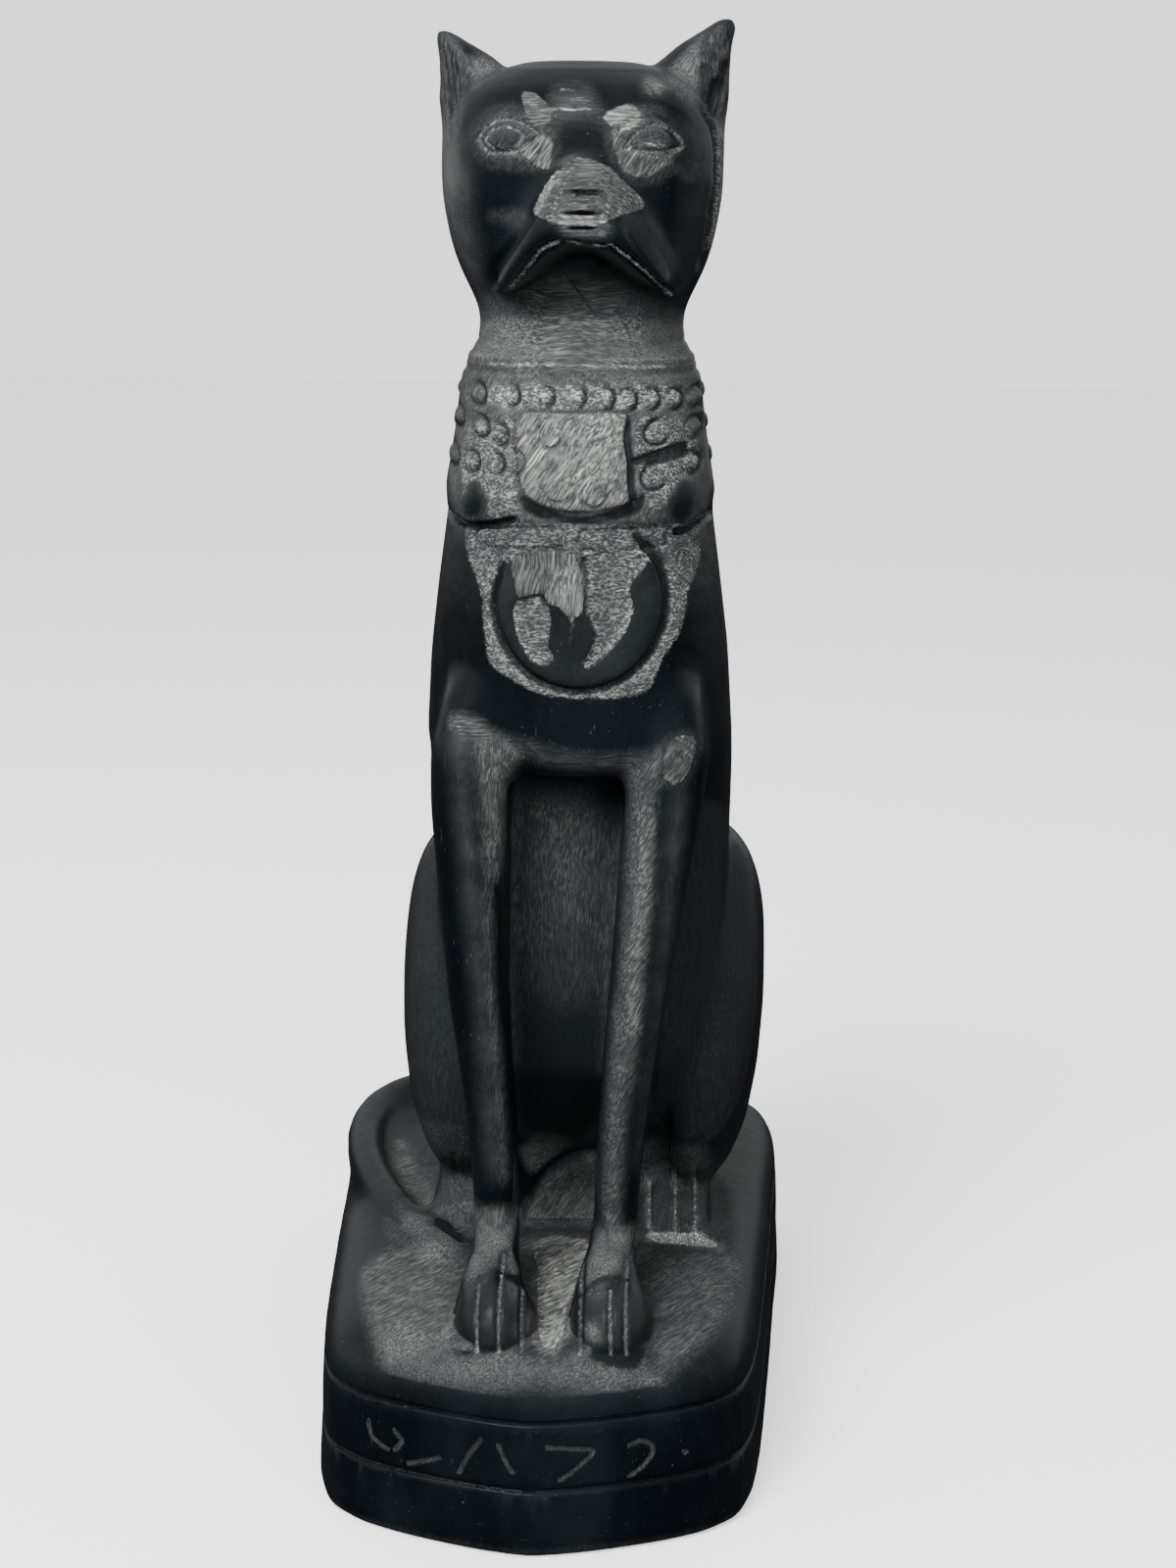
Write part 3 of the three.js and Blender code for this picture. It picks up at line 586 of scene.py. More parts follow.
# Rings beside the tablet, with the parts where each cut starts and ends, its width and its depth.
RINGS = [([(1.5, 187.4, 2.1), (3, 179.8, 2.9), (8.6, 178.4, 2.2)], 4, 3, 0.6, 0.45),
         ([(18.4, 187.6, 1.9), (18.2, 180.8, 2.0)], 2, 1, 0.7, 0.6)]
SMILE = [(-2.8, 177.6), (1.6, 175.6), (6.5, 174.6), (12, 175.8), (16.4, 178), (16, 175.4), (11.5, 173.9),
         (6.5, 173.3), (1.5, 173.8), (-2.6, 175.4)]
DARK_PETALS = [[(-13.6, 175), (-12, 179), (-10, 179.6), (-8.4, 177), (-9, 173.2), (-12.4, 172.8)],
               [(19.8, 176.4), (21.8, 180), (24.4, 179.6), (25, 176), (23.6, 172.6), (20.6, 172.8)]]
COLLAR_FOOT = [[(-34, 173.4), (-27, 172.8), (-22, 172.2), (-17, 172.4), (-12, 173.4), (-9, 174.4)],
               [(16.6, 172), (20, 171.8), (25, 172.8), (34, 173.4)]]
COLLAR_FIELDS = [
    ("rubbed", [(-12.5, 197.4), (-14.5, 190), (-16, 182), (-15, 175), (-9, 173), (5, 173.4), (20, 173),
     (26, 175), (26.5, 184), (25, 191), (23, 197.4)], SLANT, 0.6),
    ("pecked", [(-12, 187), (-3.6, 189), (-3.6, 178), (-3, 175), (-9, 174.4), (-13.4, 180)], None, 0.62),
    ("pecked", [(15, 189), (22, 189), (25, 183), (22, 179), (19.4, 176), (17, 177)], None, 0.62),
    ("pecked", [(-8, 194.4), (4, 194.8), (20, 194.6), (20, 191.6), (4, 191.4), (-8, 191.6)], None, 0.85),
    ("scraped", TABLET, SLANT, 0.34),
    ("scraped", [(-2, 186), (6, 189.6), (12, 189.8), (13, 183), (8, 180.6), (1, 182)], SLANT, 0.44),
]
NECK_SCRATCH = [(-9, 197.6), (0, 198), (8, 198), (19, 197.6)]


def beads(stone, front):
    """Domes with a ring round each, cut deeper on the side towards +x."""
    steps = int(math.pi * COLLAR_ROUND / BEAD_STEP)
    side_steps = [k for k in range(-steps, steps + 1) if abs(k * BEAD_STEP) > SIDE_BEADS]
    places = [(stone.round_collar, (k * BEAD_STEP, height)) for height in BEAD_ROWS for k in side_steps]
    places += [(front, place) for place in FRONT_BEADS]
    for view, place in places:
        at = np.array(place)
        index, flat = stone.near(view, at[None], 2 * BEAD["radius"])
        away = np.linalg.norm((flat - at) * (1, 0.9), axis=1)
        dome = BEAD["height"] * soft_step(1 - away / BEAD["radius"])
        deeper = (1 + 0.6 * np.clip((flat[:, 0] - at[0]) / BEAD["radius"], -1, 1)) / 1.6
        ring = BEAD["ring_depth"] * soft_step(1 - abs(away - BEAD["radius"]) / BEAD["ring"]) * deeper
        stone.move(index, ring - dome)


def collar(stone):
    front, around = stone.within(stone.front, FACE), stone.round_collar
    beads(stone, front)
    for height, depth in COLLAR_LINES:
        stone.cut(around, [(-76, height), (0, height), (76, height)], 0.9, depth, taper=0)
    stone.sink(front, TABLET, -0.3, 0.8)
    stone.cut(front, TABLET_SIDE, 1.0, 1.0)
    stone.sink(front, DARK_SLOT, 0.8, 0.5)
    for rings, start, end, width, depth in RINGS:
        for ring in rings:
            round_it = circle(*ring)
            stone.cut(front, round_it[start:] + round_it[:end], width, depth)
    stone.sink(front, SMILE, 0.45, 0.7)
    for petal in DARK_PETALS:
        stone.sink(front, petal, -0.35, 0.8)
    for pit in BEAD_PITS:
        stone.sink(front, circle(*pit), 0.5, 0.6)
    for line in COLLAR_FOOT:
        stone.cut(around, line, 0.9, 1.4, taper=0.1)
    stone.settle()
    stone.mark_all(front, COLLAR_FIELDS)
    stone.blend((-3, -80, 177), (13.4, -30, 190), rounds=8)
    stone.stroke("scraped", front, NECK_SCRATCH, 0.5, LEVEL, 0.5)
    for outline in [SMILE, *DARK_PETALS]:
        stone.spare(front, outline)


# The pendant disc.

DISC = (6.5, 161.0, 14.0)
WINGS = [
    [(-3.9, 160), (-2.6, 161.8), (0, 162.2), (1.4, 161), (1.8, 158), (1.5, 154.6), (2.2, 152.4), (0.8, 151.4),
     (-1.2, 152.2), (-3.2, 155.6)],
    [(7.2, 163.6), (7, 168.4), (12, 169.2), (16.4, 168.6), (16.6, 167), (14.2, 163.8), (14.9, 160.8),
     (13.8, 157), (11, 153.4), (8, 151), (7.2, 151.6), (8.6, 154), (9, 157), (7.6, 160)],
]
HALO = [(-10, 171.6), (-9.4, 162), (-8.8, 155), (-7.8, 150.6), (-4, 148.4), (0, 146.6), (6, 145.9), (14, 146),
        (17.8, 147.2), (19.6, 151.6), (22.4, 155.6), (23.5, 161), (23, 171)]
BARS = ((-10, 3.4), (7, 20))  # where each bar above the disc starts and ends
DISC_FIELDS = [
    ("pecked", [(-9.5, 173), (22.5, 173), (22.5, 168.4), (6, 167), (-9.5, 168)], None, 0.36),
    ("pecked", WINGS[0], None, 0.95),
    ("pecked", WINGS[1], None, 0.95),
    ("scraped", [(-4.2, 168), (-3.8, 164.3), (-3.2, 161.9), (-1.2, 162.2), (0.7, 162.6), (1.5, 161),
                 (3.1, 160.7), (5, 159.3), (6.9, 159.8), (7.2, 165), (6.4, 168.6), (1, 169.2)],
     UPRIGHT, 0.18),
    ("scraped", [(1.8, 161.4), (3.3, 161), (5, 159.7), (6.8, 160.2), (7, 165.6), (4.6, 166.4), (2.6, 164.6)],
     UPRIGHT, 0.36),
]
DISC_NICKS = [[(5.2, 158.7), (5.6, 157.2)], [(4.4, 156.8), (4.7, 155.6)], [(5, 154.3), (5.4, 153.2)]]


def disc(stone):
    front = stone.within(stone.front, FACE)
    rim = circle(*DISC)
    stone.sink(front, rim, -0.3, 1.0)
    stone.cut(front, rim[5:] + rim[:3], 1.1, 1.4, taper=0.08)
    for wing in WINGS:
        stone.sink(front, wing, 0.7, 0.6)
    for low, high in BARS:
        bar = [(low, 172.6), (high - 0.8, 172.8), (high, 171.4), (high - 0.8, 169.8), (low, 169.6)]
        stone.cut(front, bar + bar[:1], 0.6, 0.4, taper=0)
    stone.settle()
    stone.mark("pecked", front, HALO, None, 0.62)
    stone.spare(front, rim)
    stone.mark_all(front, DISC_FIELDS)
    for nick in DISC_NICKS:
        stone.stroke("scraped", front, nick, 0.4, UPRIGHT, 0.3)
    stone.cloud_over(front, rim, 0.08, 2.0)


# The legs, the hollow between them and the feet.

LEGS = (1, -80, -38)
HOLLOW = (1, -46, -5)
HAUNCH_SPAN = (1, -38, 30)
PAW_TOPS = (1, -68, -50)
ANKLE_LINES = (1, -56, -38)
ANKLE_FACES = (1, -63, -38)
TOE_SPAN = (1, -26, -4)
LINE_SPAN = (1, -26, -10)
RIGHT_FOOT = (1, -30, 0)
LEFT_FOOT = (1, -30, -8)
TAIL_SPAN = (1, -40, -16)
LUMP_SPAN = (1, -22, 5)
BELLY = (1, -24, 5)
LEG_FIELDS = [
    ("rubbed", [(-10.4, 140.2), (-7, 139.4), (-3.4, 138.2), (-0.6, 137.2), (-3.6, 134.6), (-4.4, 126),
     (-5.2, 118), (-7.2, 114), (-8.6, 116), (-9, 126), (-9.9, 134)], UPRIGHT, 0.62),
    ("rubbed", [(13.6, 135.6), (18.5, 136.4), (21.5, 138.8), (25.2, 139.2), (25, 135.6), (23.4, 132),
     (19, 130.6), (18.9, 116), (17.6, 100), (16.6, 86), (14.8, 72), (13.6, 52), (11.4, 52), (11.8, 80),
     (13.4, 100), (14.2, 116), (14.6, 128)], SLANT, 0.5),
    ("rubbed", [(18.8, 124), (17.6, 100), (16.8, 88), (15.6, 90), (16, 104), (17.4, 122)], SLANT, 0.85),
    ("scraped", [(21.2, 138.6), (25.2, 139.2), (25, 136), (23.4, 132.2), (20.4, 132.4)], SLANT, 0.14),
]
LEFT_LEG_RUB = [(-8.4, 112), (-8, 96), (-6.8, 76), (-6, 58)]
LEFT_LEG_TOP = [(-14.6, 141.6), (-10, 141.4), (-8, 139), (-13, 139.6)]
# The hollow between the forelegs: a rubbed finish whose tones are painted shade, darkest at the hollow's
# edges, top and bottom and lighter in its middle.
HOLLOW_RUB_AND_SHADE = [
    ("rubbed", [(-8, 131), (4, 135), (14, 131), (17, 120), (16, 100), (15, 70), (4, 52), (-8, 60), (-8, 100)],
     UPRIGHT, 0.02),
    ("rubbed", [(-4, 120), (4, 123), (12, 120), (13, 112), (13, 96), (10, 90), (4, 88), (-2, 90), (-4, 100)],
     UPRIGHT, 0.22),
    ("rubbed", [(-2, 124), (4, 126), (9, 122), (8, 108), (3, 104), (-1, 112)], UPRIGHT, 0.38),
]
CHEST_EDGE = [(-4, 138.4), (4.5, 136.4), (13, 136), (17, 136.2), (14, 133.4), (4.5, 133.4), (-1, 136)]
HAUNCHES = [[(-31, 98), (-27, 112), (-21, 121), (-14.5, 122), (-13.5, 96), (-13, 60), (-24, 58), (-31, 70)],
            [(27, 122), (34, 112), (37, 94), (36, 70), (30, 58), (20, 60), (21, 90), (25, 112)]]
LEG_FRONTS = [[(-14, 138), (-12, 112), (-10, 86), (-9, 62), (-7, 62), (-8.4, 90), (-10, 116), (-11.4, 138)],
              [(21.6, 128), (20.4, 106), (18.6, 82), (17.4, 62), (19.4, 62), (21, 84), (22.8, 110),
               (24, 128)]]

# The middle of each forepaw, the place of the painted highlight on its dome, and its toe lines with their
# upper ends and widths.
PAWS = [(-6.7, (-1.7, 38), [(-9.5, 43, 0.8), (-5.8, 46, 0.9), (-2.1, 43, 0.7)]),
        (13.2, (10.1, 38), [(7.8, 45.5, 0.9), (13, 43.4, 0.9), (15.6, 45.5, 0.9)])]
PAW_SIZE = (7.3, 10.6, 10.4)
HIND_TOES = [[(18.8, 43), (19.0, 35.4)], [(23.7, 49), (23.9, 35.4)], [(27.3, 50.5), (27.5, 36)]]
LEFT_HIND_LINE = [(-17.6, 52), (-18, 42)]
ANKLES = [[(-11.4, 54), (-10.4, 51), (-7.6, 49.4), (-5, 50), (-4, 53)],
          [(10.6, 51), (12.2, 48), (14.6, 46.8), (16.6, 45), (18, 48)]]
ANKLE_FRONTS = [[(-11, 52), (-3.4, 52), (-0.6, 43), (-3, 41.6), (-6.4, 45.2), (-10, 43), (-12.6, 42)],
                [(10.6, 49), (17.4, 49), (20, 43), (17, 44.4), (14.6, 45), (11, 42.8), (7, 42)]]
RIGHT_HIND_PAW = [(17, 52), (29, 54), (30, 36), (17, 36)]
LEFT_HIND_PAW = [(-26, 56), (-12, 56), (-12, 36), (-28, 36)]
TAIL_END = [(-26, 42), (-13.5, 42), (-12, 38), (-12, 34), (-26, 34)]
LUMP = [(-4.6, 36), (-0.6, 44), (4, 48.2), (9, 50), (10, 38), (6, 33), (-3, 33)]
LUMP_EDGE = [(-5, 37), (-0.8, 45.4), (4, 49.6), (9, 51.2)]
BELLY_FIELDS = [("rubbed", [(-5, 51), (0, 55), (3, 53), (-1, 46), (-4, 45)], SLANT, 0.7),
                ("rubbed", LUMP, SLANT, 0.35)]


def views(stone, *spans):
    return [stone.within(stone.front, span) for span in spans]


def shape_feet(stone):
    for middle, _, _ in PAWS:
        stone.swell((middle, -55.2, 34.2), PAW_SIZE, (middle - 9.4, -67, 34.6), (middle + 9.4, -52.5, 50))
    stone.settle()
    for middle, _, _ in PAWS:
        stone.soften((middle - 9, -63, 38), (middle + 9, -44, 54), rounds=140)
    stone.soften((-30, -30, 36), (-12, -8, 60), rounds=40)
    stone.soften((-28, -36, 34.6), (-9, -18, 42), rounds=35)
    stone.push((-36, -8, 53), (9, 30, 11), (2.4, 0, 0))
    stone.settle()
    paws, ankles, hind_toes, hind_line = views(stone, PAW_TOPS, ANKLE_LINES, TOE_SPAN, LINE_SPAN)
    lump, belly = views(stone, LUMP_SPAN, BELLY)
    for middle, _, _ in PAWS:
        # A hazy polish on each paw dome, whose lighter colour is a painted sheen of the glint light.
        stone.cloud_over(paws, circle(middle, 41, 6), 0.1, 4.0)
    for _, _, toes in PAWS:
        for x, high, width in toes:
            stone.cut(paws, [(x, high + 0.6), (x, 41), (x + 0.3, 34.2)], width, 0.5, taper=0.25)
    for line in ANKLES:
        stone.cut(ankles, line, 1.6, 0.35)
    for line in HIND_TOES:
        stone.cut(hind_toes, line, 0.9, 0.7)
    stone.cut(hind_line, LEFT_HIND_LINE, 0.9, 0.5)
    stone.sink(lump, LUMP, -1.4, 2.0)
    stone.cut(belly, LUMP_EDGE, 1.2, 1.0)
    stone.settle()


def legs(stone):
    shape_feet(stone)
    front, hollow, haunches = views(stone, LEGS, HOLLOW, HAUNCH_SPAN)
    stone.mark_all(front, LEG_FIELDS)
    stone.stroke("rubbed", front, LEFT_LEG_RUB, 0.7, UPRIGHT, 0.5)
    stone.mark("rubbed", front, LEFT_LEG_TOP, LEVEL, 0.6)
    stone.mark_all(hollow, HOLLOW_RUB_AND_SHADE)
    # The hollow's tones run together into one smooth gradient of painted shade.
    stone.blend((-9, -46, 50), (18, -5, 136), rounds=120)
    stone.mark("rubbed", front, CHEST_EDGE, LEVEL, 0.26)
    for outline in HAUNCHES:
        stone.mark("rubbed", haunches, outline, UPRIGHT, 0.08)
    for outline in LEG_FRONTS:
        stone.cloud_over(front, outline, 0.3, 2.5)

    ankles, paws, right_hind, left_hind = views(stone, ANKLE_FACES, PAW_TOPS, RIGHT_FOOT, LEFT_FOOT)
    for outline in ANKLE_FRONTS:
        stone.mark("rubbed", ankles, outline, UPRIGHT, 0.6, grow=-0.4)
    stone.mark("rubbed", right_hind, RIGHT_HIND_PAW, UPRIGHT, 0.3)
    for _, painted_highlight_spot, toes in PAWS:
        # A light spot on each paw dome, drawn with the rubbed finish at its lightest tone: a painted
        # highlight.
        stone.mark("rubbed", paws, circle(*painted_highlight_spot, 0.9), UPRIGHT, 1.0)
        for x, high, width in toes:
            toe = [(x, high), (x, 41), (x + 0.3, 34.4)]
            stone.stroke("scraped", paws, toe, 0.6 * width, UPRIGHT, 0.2)
    hind_toes, hind_line, tail, belly = views(stone, TOE_SPAN, LINE_SPAN, TAIL_SPAN, BELLY)
    for line in HIND_TOES:
        stone.stroke("scraped", hind_toes, line, 0.45, UPRIGHT, 0.5)
    stone.stroke("rubbed", hind_line, LEFT_HIND_LINE, 1.2, UPRIGHT, 0.6)
    stone.mark("rubbed", left_hind, LEFT_HIND_PAW, UPRIGHT, 0.24)
    stone.mark("rubbed", tail, TAIL_END, UPRIGHT, 0.4)
    stone.mark_all(belly, BELLY_FIELDS)


# The plinth.

BAND = (12.6, 24.7)  # heights of the two cut lines
BAND_FRONT = (1, -80, -30)
PLINTH_SKIN = (2, 26, 36)
PLINTH_FIELDS = [
    ("rubbed", [(-30, -34), (-31, 0), (-30, 20), (-20, 34), (20, 34), (33, 10), (35, -25), (32, -46),
     (24, -60), (0, -67), (-24, -62), (-30, -50)], LYING, 0.2),
    ("rubbed", [(-33, -33), (-26.5, -26), (-17, -29.5), (-14.5, -58), (-16, -66), (-24, -63.5), (-28, -57.5),
     (-31, -46)], LYING, 0.66),
    ("rubbed", [(-24, -64), (-15, -63.4), (0, -66), (19.5, -64), (19.5, -67), (-6, -69)], LYING, 0.5),
    ("rubbed", [(19, -24), (31, -23), (37, -26), (33.5, -46), (28, -58), (21, -63), (20.6, -50)],
     LYING, 0.38),
    ("rubbed", [(-35, 26), (-33, 8), (-28, -4), (-20.5, -15), (-24, 0), (-28, 13), (-32, 28)], LYING, 0.6),
]
LIGHT_GROUND = [(-2.5, -18), (9.5, -20), (6, -45), (5.4, -61), (0.5, -61), (-1.6, -36)]
TOE_GROUND = [(20, -17.4), (30, -17.6), (31.4, -20.6), (25, -19.6), (20.4, -19.4)]
BAND_STROKES = [
    [(-8, 21.4), (-10.6, 17.4), (-12, 14.2)],
    [(-5.2, 20.8), (-4.2, 18.2), (-2.6, 15.8)],
    [(2.6, 20.6), (7, 20.2), (10.6, 19.4), (8, 16.6), (5, 14.4)],
    [(16.4, 19.4), (18.6, 20.2), (20.6, 18.6), (19.6, 16), (16.6, 13.8)],
    [(26, 17), (26.4, 16.4)],
    [(-28, 20.4), (-27.4, 17.6), (-24.4, 15.8)],
    [(-23.4, 19.8), (-22, 18), (-23.4, 16)],
    [(-21, 14.2), (-18, 15.4), (-15, 16.6)],
]
RIM_HAZE = 0.04


def plinth(stone):
    front, top = stone.within(stone.front, BAND_FRONT), stone.within(stone.top, PLINTH_SKIN)
    wall = abs(stone.normals[:, 2]) < 0.8
    for height in BAND:
        away = abs(stone.points[:, 2] - height)
        index = np.nonzero(wall & (away < 1))[0]
        stone.move(index, 0.9 * soft_step(1 - away[index] / 0.6))
    for line in BAND_STROKES:
        stone.cut(front, line, 0.7, 0.25)
    stone.settle()
    for line in BAND_STROKES:
        stone.stroke("scraped", front, line, 0.8, UPRIGHT, 0.06)
    foot = np.nonzero((stone.points[:, 2] < 8) & (stone.normals[:, 1] < 0))[0]
    stone.finish_off("rubbed", foot, 1.0 - stone.points[foot, 2], SLANT, 0.4)

    rim = (stone.points[:, 2] > BAND[1] + 1) & (stone.points[:, 2] < PLINTH_TOP + 8)
    upward = soft_step(stone.normals[:, 2] + 0.35)
    stone.haze = np.where(rim, np.maximum(stone.haze, RIM_HAZE * upward), stone.haze)
    stone.mark_all(top, PLINTH_FIELDS)
    stone.mark("rubbed", top, LIGHT_GROUND, LYING, 1.0)
    stone.mark("scraped", top, LIGHT_GROUND, LYING, 0.8, grow=-0.8)
    stone.blend((-40, -70, 33), (40, 40, 36), rounds=20)
    stone.mark("scraped", top, TOE_GROUND, UPRIGHT, 0.8)


# The material: the darkest and the lightest colour of each finish.

POLISHED = [(0.001, 0.0018, 0.0028, 1), (0.0036, 0.0054, 0.007, 1)]
HAZY = (0.075, 0.081, 0.078, 1)
RUBBED = [(0.004, 0.006, 0.007, 1), (0.21, 0.217, 0.206, 1)]
SCRAPED = [(0.008, 0.01, 0.01, 1), (0.52, 0.53, 0.51, 1)]
PECKED = [(0.005, 0.007, 0.008, 1), (0.32, 0.33, 0.316, 1)]


class Board:
    """Nodes and links of one node tree, placed by short calls."""

    def __init__(self, tree):
        self.tree = tree

    def add(self, kind, inputs, **settings):
        node = self.tree.nodes.new("ShaderNode" + kind)
        for key, value in settings.items():
            setattr(node, key, value)
        for key, value in inputs.items():
            if isinstance(value, bpy.types.NodeSocket):
                self.tree.links.new(value, node.inputs[key])
            else:
                node.inputs[key].default_value = value
        return node

    def maths(self, operation, a, b=0.0):
        return self.add("Math", {0: a, 1: b}, operation=operation).outputs[0]

    def times(self, a, b):
        return self.maths("MULTIPLY", a, b)

    def step(self, value, low, high):
        inputs = {"Value": value, "From Min": low, "From Max": high}
        return self.add("MapRange", inputs, interpolation_type="SMOOTHSTEP").outputs["Result"]

    def mixed(self, share, a, b):
        return self.add("Mix", {"Factor": share, "A": a, "B": b}, data_type="FLOAT").outputs[0]

    def tinted(self, share, a, b):
        return self.add("Mix", {0: share, 6: a, 7: b}, data_type="RGBA").outputs[2]

    def either(self, a, b):
        return self.maths("MAXIMUM", a, b)

    def scaled(self, place, scale):
        return self.add("Mapping", {"Vector": place, "Scale": scale}).outputs[0]

    def noise(self, place, scale, detail=2.0, roughness=0.5, output="Fac"):
        """Noise whose scale is one number, or three along the axes."""
        if isinstance(scale, tuple):
            place = self.scaled(place, scale)
            scale = 1.0
        inputs = {"Vector": place, "Scale": scale, "Detail": detail, "Roughness": roughness}
        return self.add("TexNoise", inputs).outputs[output]

    def turned(self, place, degrees, axis="Y_AXIS"):
        """Coordinates turned in the plane of the figure's front, or lying down."""
        inputs = {"Vector": place, "Angle": math.radians(degrees)}
        return self.add("VectorRotate", inputs, rotation_type=axis).outputs[0]

    def chosen(self, share, a, b):
        """One set of coordinates, or the other."""
        return self.add("Mix", {0: share, 4: a, 5: b}, data_type="VECTOR").outputs[1]

    def wavering(self, place, length, sway):
        """Coordinates that sway to and fro by millimetres, over a length."""
        swing = self.noise(place, 1 / (length * MM), 1.0, 0.5, "Color")
        inputs = {0: swing, 1: (sway * MM, sway * MM, sway * MM), 2: place}
        return self.add("VectorMath", inputs, operation="MULTIPLY_ADD").outputs[0]

    def strokes(self, place, length, width, reach):
        """Single strokes of a tool along x, some fainter, at most as long and wide as these millimetres."""
        length, width = (0.5 * size * MM / reach for size in (length, width))
        near = self.scaled(place, (1 / length, 1 / width, 1 / width))
        cells = self.add("TexVoronoi", {"Vector": near, "Scale": 1.0, "Randomness": 1.0})
        body = self.step(cells.outputs["Distance"], reach, 0.45 * reach)
        chance = self.add("SeparateColor", {0: cells.outputs["Color"]}).outputs[0]
        return self.times(body, self.mixed(chance, 0.25, 1.0))

    def attribute(self, name):
        return self.add("Attribute", {}, attribute_name=name).outputs["Fac"]


def stone_material():
    made = bpy.data.materials.new("dark_stone")
    made.use_nodes = True
    tree = made.node_tree
    board = Board(tree)
    either = board.either
    shader = tree.nodes["Principled BSDF"]
    place = board.add("TexCoord", {}).outputs["Object"]

    # Coordinates whose x runs along the scratches.
    lay = board.attribute("lay")
    swaying = board.wavering(place, 7.0, 1.4)
    along = swaying
    ways = [(58, "Y_AXIS"), (86, "Y_AXIS"), (-52, "Z_AXIS")]
    for count, (degrees, axis) in enumerate(ways):
        past = board.maths("GREATER_THAN", lay, count + 0.5)
        along = board.chosen(past, along, board.turned(swaying, degrees, axis))

    cloud = board.noise(place, (55, 55, 22), 4, 0.6)
    patchy = board.step(board.noise(place, 170, 4, 0.65), 0.34, 0.64)
    worn = board.mixed(board.step(board.noise(place, (420, 420, 700), 3, 0.6), 0.36, 0.62), 0.4, 1.0)
    streaks = board.step(board.noise(along, (230, 3200, 3200), 3, 0.65), 0.46, 0.66)
    fine = board.strokes(along, 3.4, 0.22, 0.42)
    broad = board.strokes(board.turned(along, 9), 6.5, 0.28, 0.28)
    lines = either(either(board.times(streaks, 0.6), board.times(fine, 0.8)), broad)
    lines = board.times(lines, board.mixed(patchy, 0.4, 1.0))
    bold = either(lines, board.strokes(board.turned(along, -7), 9.0, 0.5, 0.4))
    rippled = board.wavering(place, 2.4, 1.3)
    grains = board.step(board.noise(rippled, (1250, 2000, 3400), 3, 0.7), 0.44, 0.62)
    hairs = board.times(board.strokes(board.turned(along, 5), 5.0, 0.2, 0.14), 0.16)
    specks = board.times(board.strokes(place, 0.26, 0.26, 0.07), 0.5)
    ragged = board.noise(place, 1300, 4, 0.7)

    # Tone is darker where the stone is carved in, a painted shade in the grooves, and lighter where it is
    # raised, as wear.
    carved = board.attribute("carved")
    sunk = board.step(carved, 0.12, 0.65)
    raised = board.step(board.times(carved, -1.0), 0.05, 0.5)
    groove_shade_and_wear = board.mixed(sunk, board.mixed(raised, 1.0, 1.5), 0.15)
    tone = board.times(board.attribute("tone"), groove_shade_and_wear)

    def share(name, soft, spread, detail):
        """Where a finish is, with its border broken up by some detail."""
        uneven = board.times(board.maths("SUBTRACT", detail, 0.5), spread)
        return board.step(board.maths("ADD", board.attribute(name), uneven), -soft, soft)

    rubbed = share("rubbed", 1.8, 3.4, board.mixed(0.5, ragged, cloud))
    scraped = share("scraped", 0.15, 0.8, ragged)
    pecked = share("pecked", 0.25, 1.5, ragged)

    def shade(detail, least):
        return board.times(tone, board.mixed(detail, least, 1.0))

    deep = board.tinted(board.step(cloud, 0.35, 0.7), *POLISHED)
    haze = board.times(board.attribute("haze"), board.mixed(either(streaks, patchy), 0.45, 1.0))
    deep = board.tinted(haze, deep, HAZY)
    deep = board.tinted(board.times(either(hairs, specks), patchy), deep, RUBBED[1])
    grey = board.tinted(shade(lines, board.mixed(worn, 0.08, 0.2)), *RUBBED)
    bright = board.tinted(shade(bold, board.mixed(worn, 0.0, 0.16)), *SCRAPED)
    dotted = board.tinted(shade(board.times(grains, worn), 0.10), *PECKED)
    colour = board.tinted(rubbed, deep, grey)
    colour = board.tinted(pecked, colour, dotted)
    colour = board.tinted(scraped, colour, bright)
    tree.links.new(colour, shader.inputs["Base Color"])

    matte = either(either(rubbed, pecked), scraped)
    sheen = board.mixed(board.attribute("haze"), board.mixed(cloud, 0.26, 0.46), 0.6)
    tree.links.new(board.mixed(matte, sheen, 0.75), shader.inputs["Roughness"])
    shader.inputs["Specular IOR Level"].default_value = 0.4

    relief = board.mixed(pecked, board.times(bold, matte), grains)
    close = board.add("Bump", {"Height": relief, "Strength": 0.5, "Distance": 0.1 * MM})
    uneven = board.noise(along, (90, 260, 260), 2, 0.5)
    inputs = {"Height": uneven, "Strength": 0.3, "Distance": 0.5 * MM, "Normal": close.outputs[0]}
    bump = board.add("Bump", inputs)
    tree.links.new(bump.outputs[0], shader.inputs["Normal"])
    return made


# The studio.

PALE = (0.86, 0.865, 0.86, 1)
DIM = (0.012, 0.011, 0.012, 1)  # what the stone mirrors of the floor
FLOOR_GLOW, WALL_GLOW = 0.8, 2.0  # for the camera alone, so that floor and wall meet unseen
ROOM_GLOW = (0.12, 0.6)  # what the stone mirrors in front, and behind, beside and above


def camera():
    data = bpy.data.cameras.new("camera")
    data.sensor_fit = "VERTICAL"
    data.sensor_height = SENSOR
    data.lens = LENS
    data.clip_start = 0.01
    found = put_in("camera", data)
    yaw = math.radians(YAW)
    found.location = (CAMERA_DISTANCE * math.sin(yaw), -CAMERA_DISTANCE * math.cos(yaw), CAMERA_HEIGHT)
    turn = Euler((math.radians(90 - PITCH), 0, yaw + math.radians(PAN))).to_matrix()
    found.rotation_euler = (turn @ Euler((0, 0, math.radians(ROLL))).to_matrix()).to_euler()
    bpy.context.scene.camera = found


def soft_light(name, place, aim, size, power, mirrored=True):
    data = bpy.data.lights.new(name, "AREA")
    data.shape = "RECTANGLE"
    data.size, data.size_y = size
    data.energy = power
    found = put_in(name, data)
    found.location = place
    found.rotation_euler = (Vector(aim) - Vector(place)).to_track_quat("-Z", "Y").to_euler()
    found.visible_glossy = mirrored


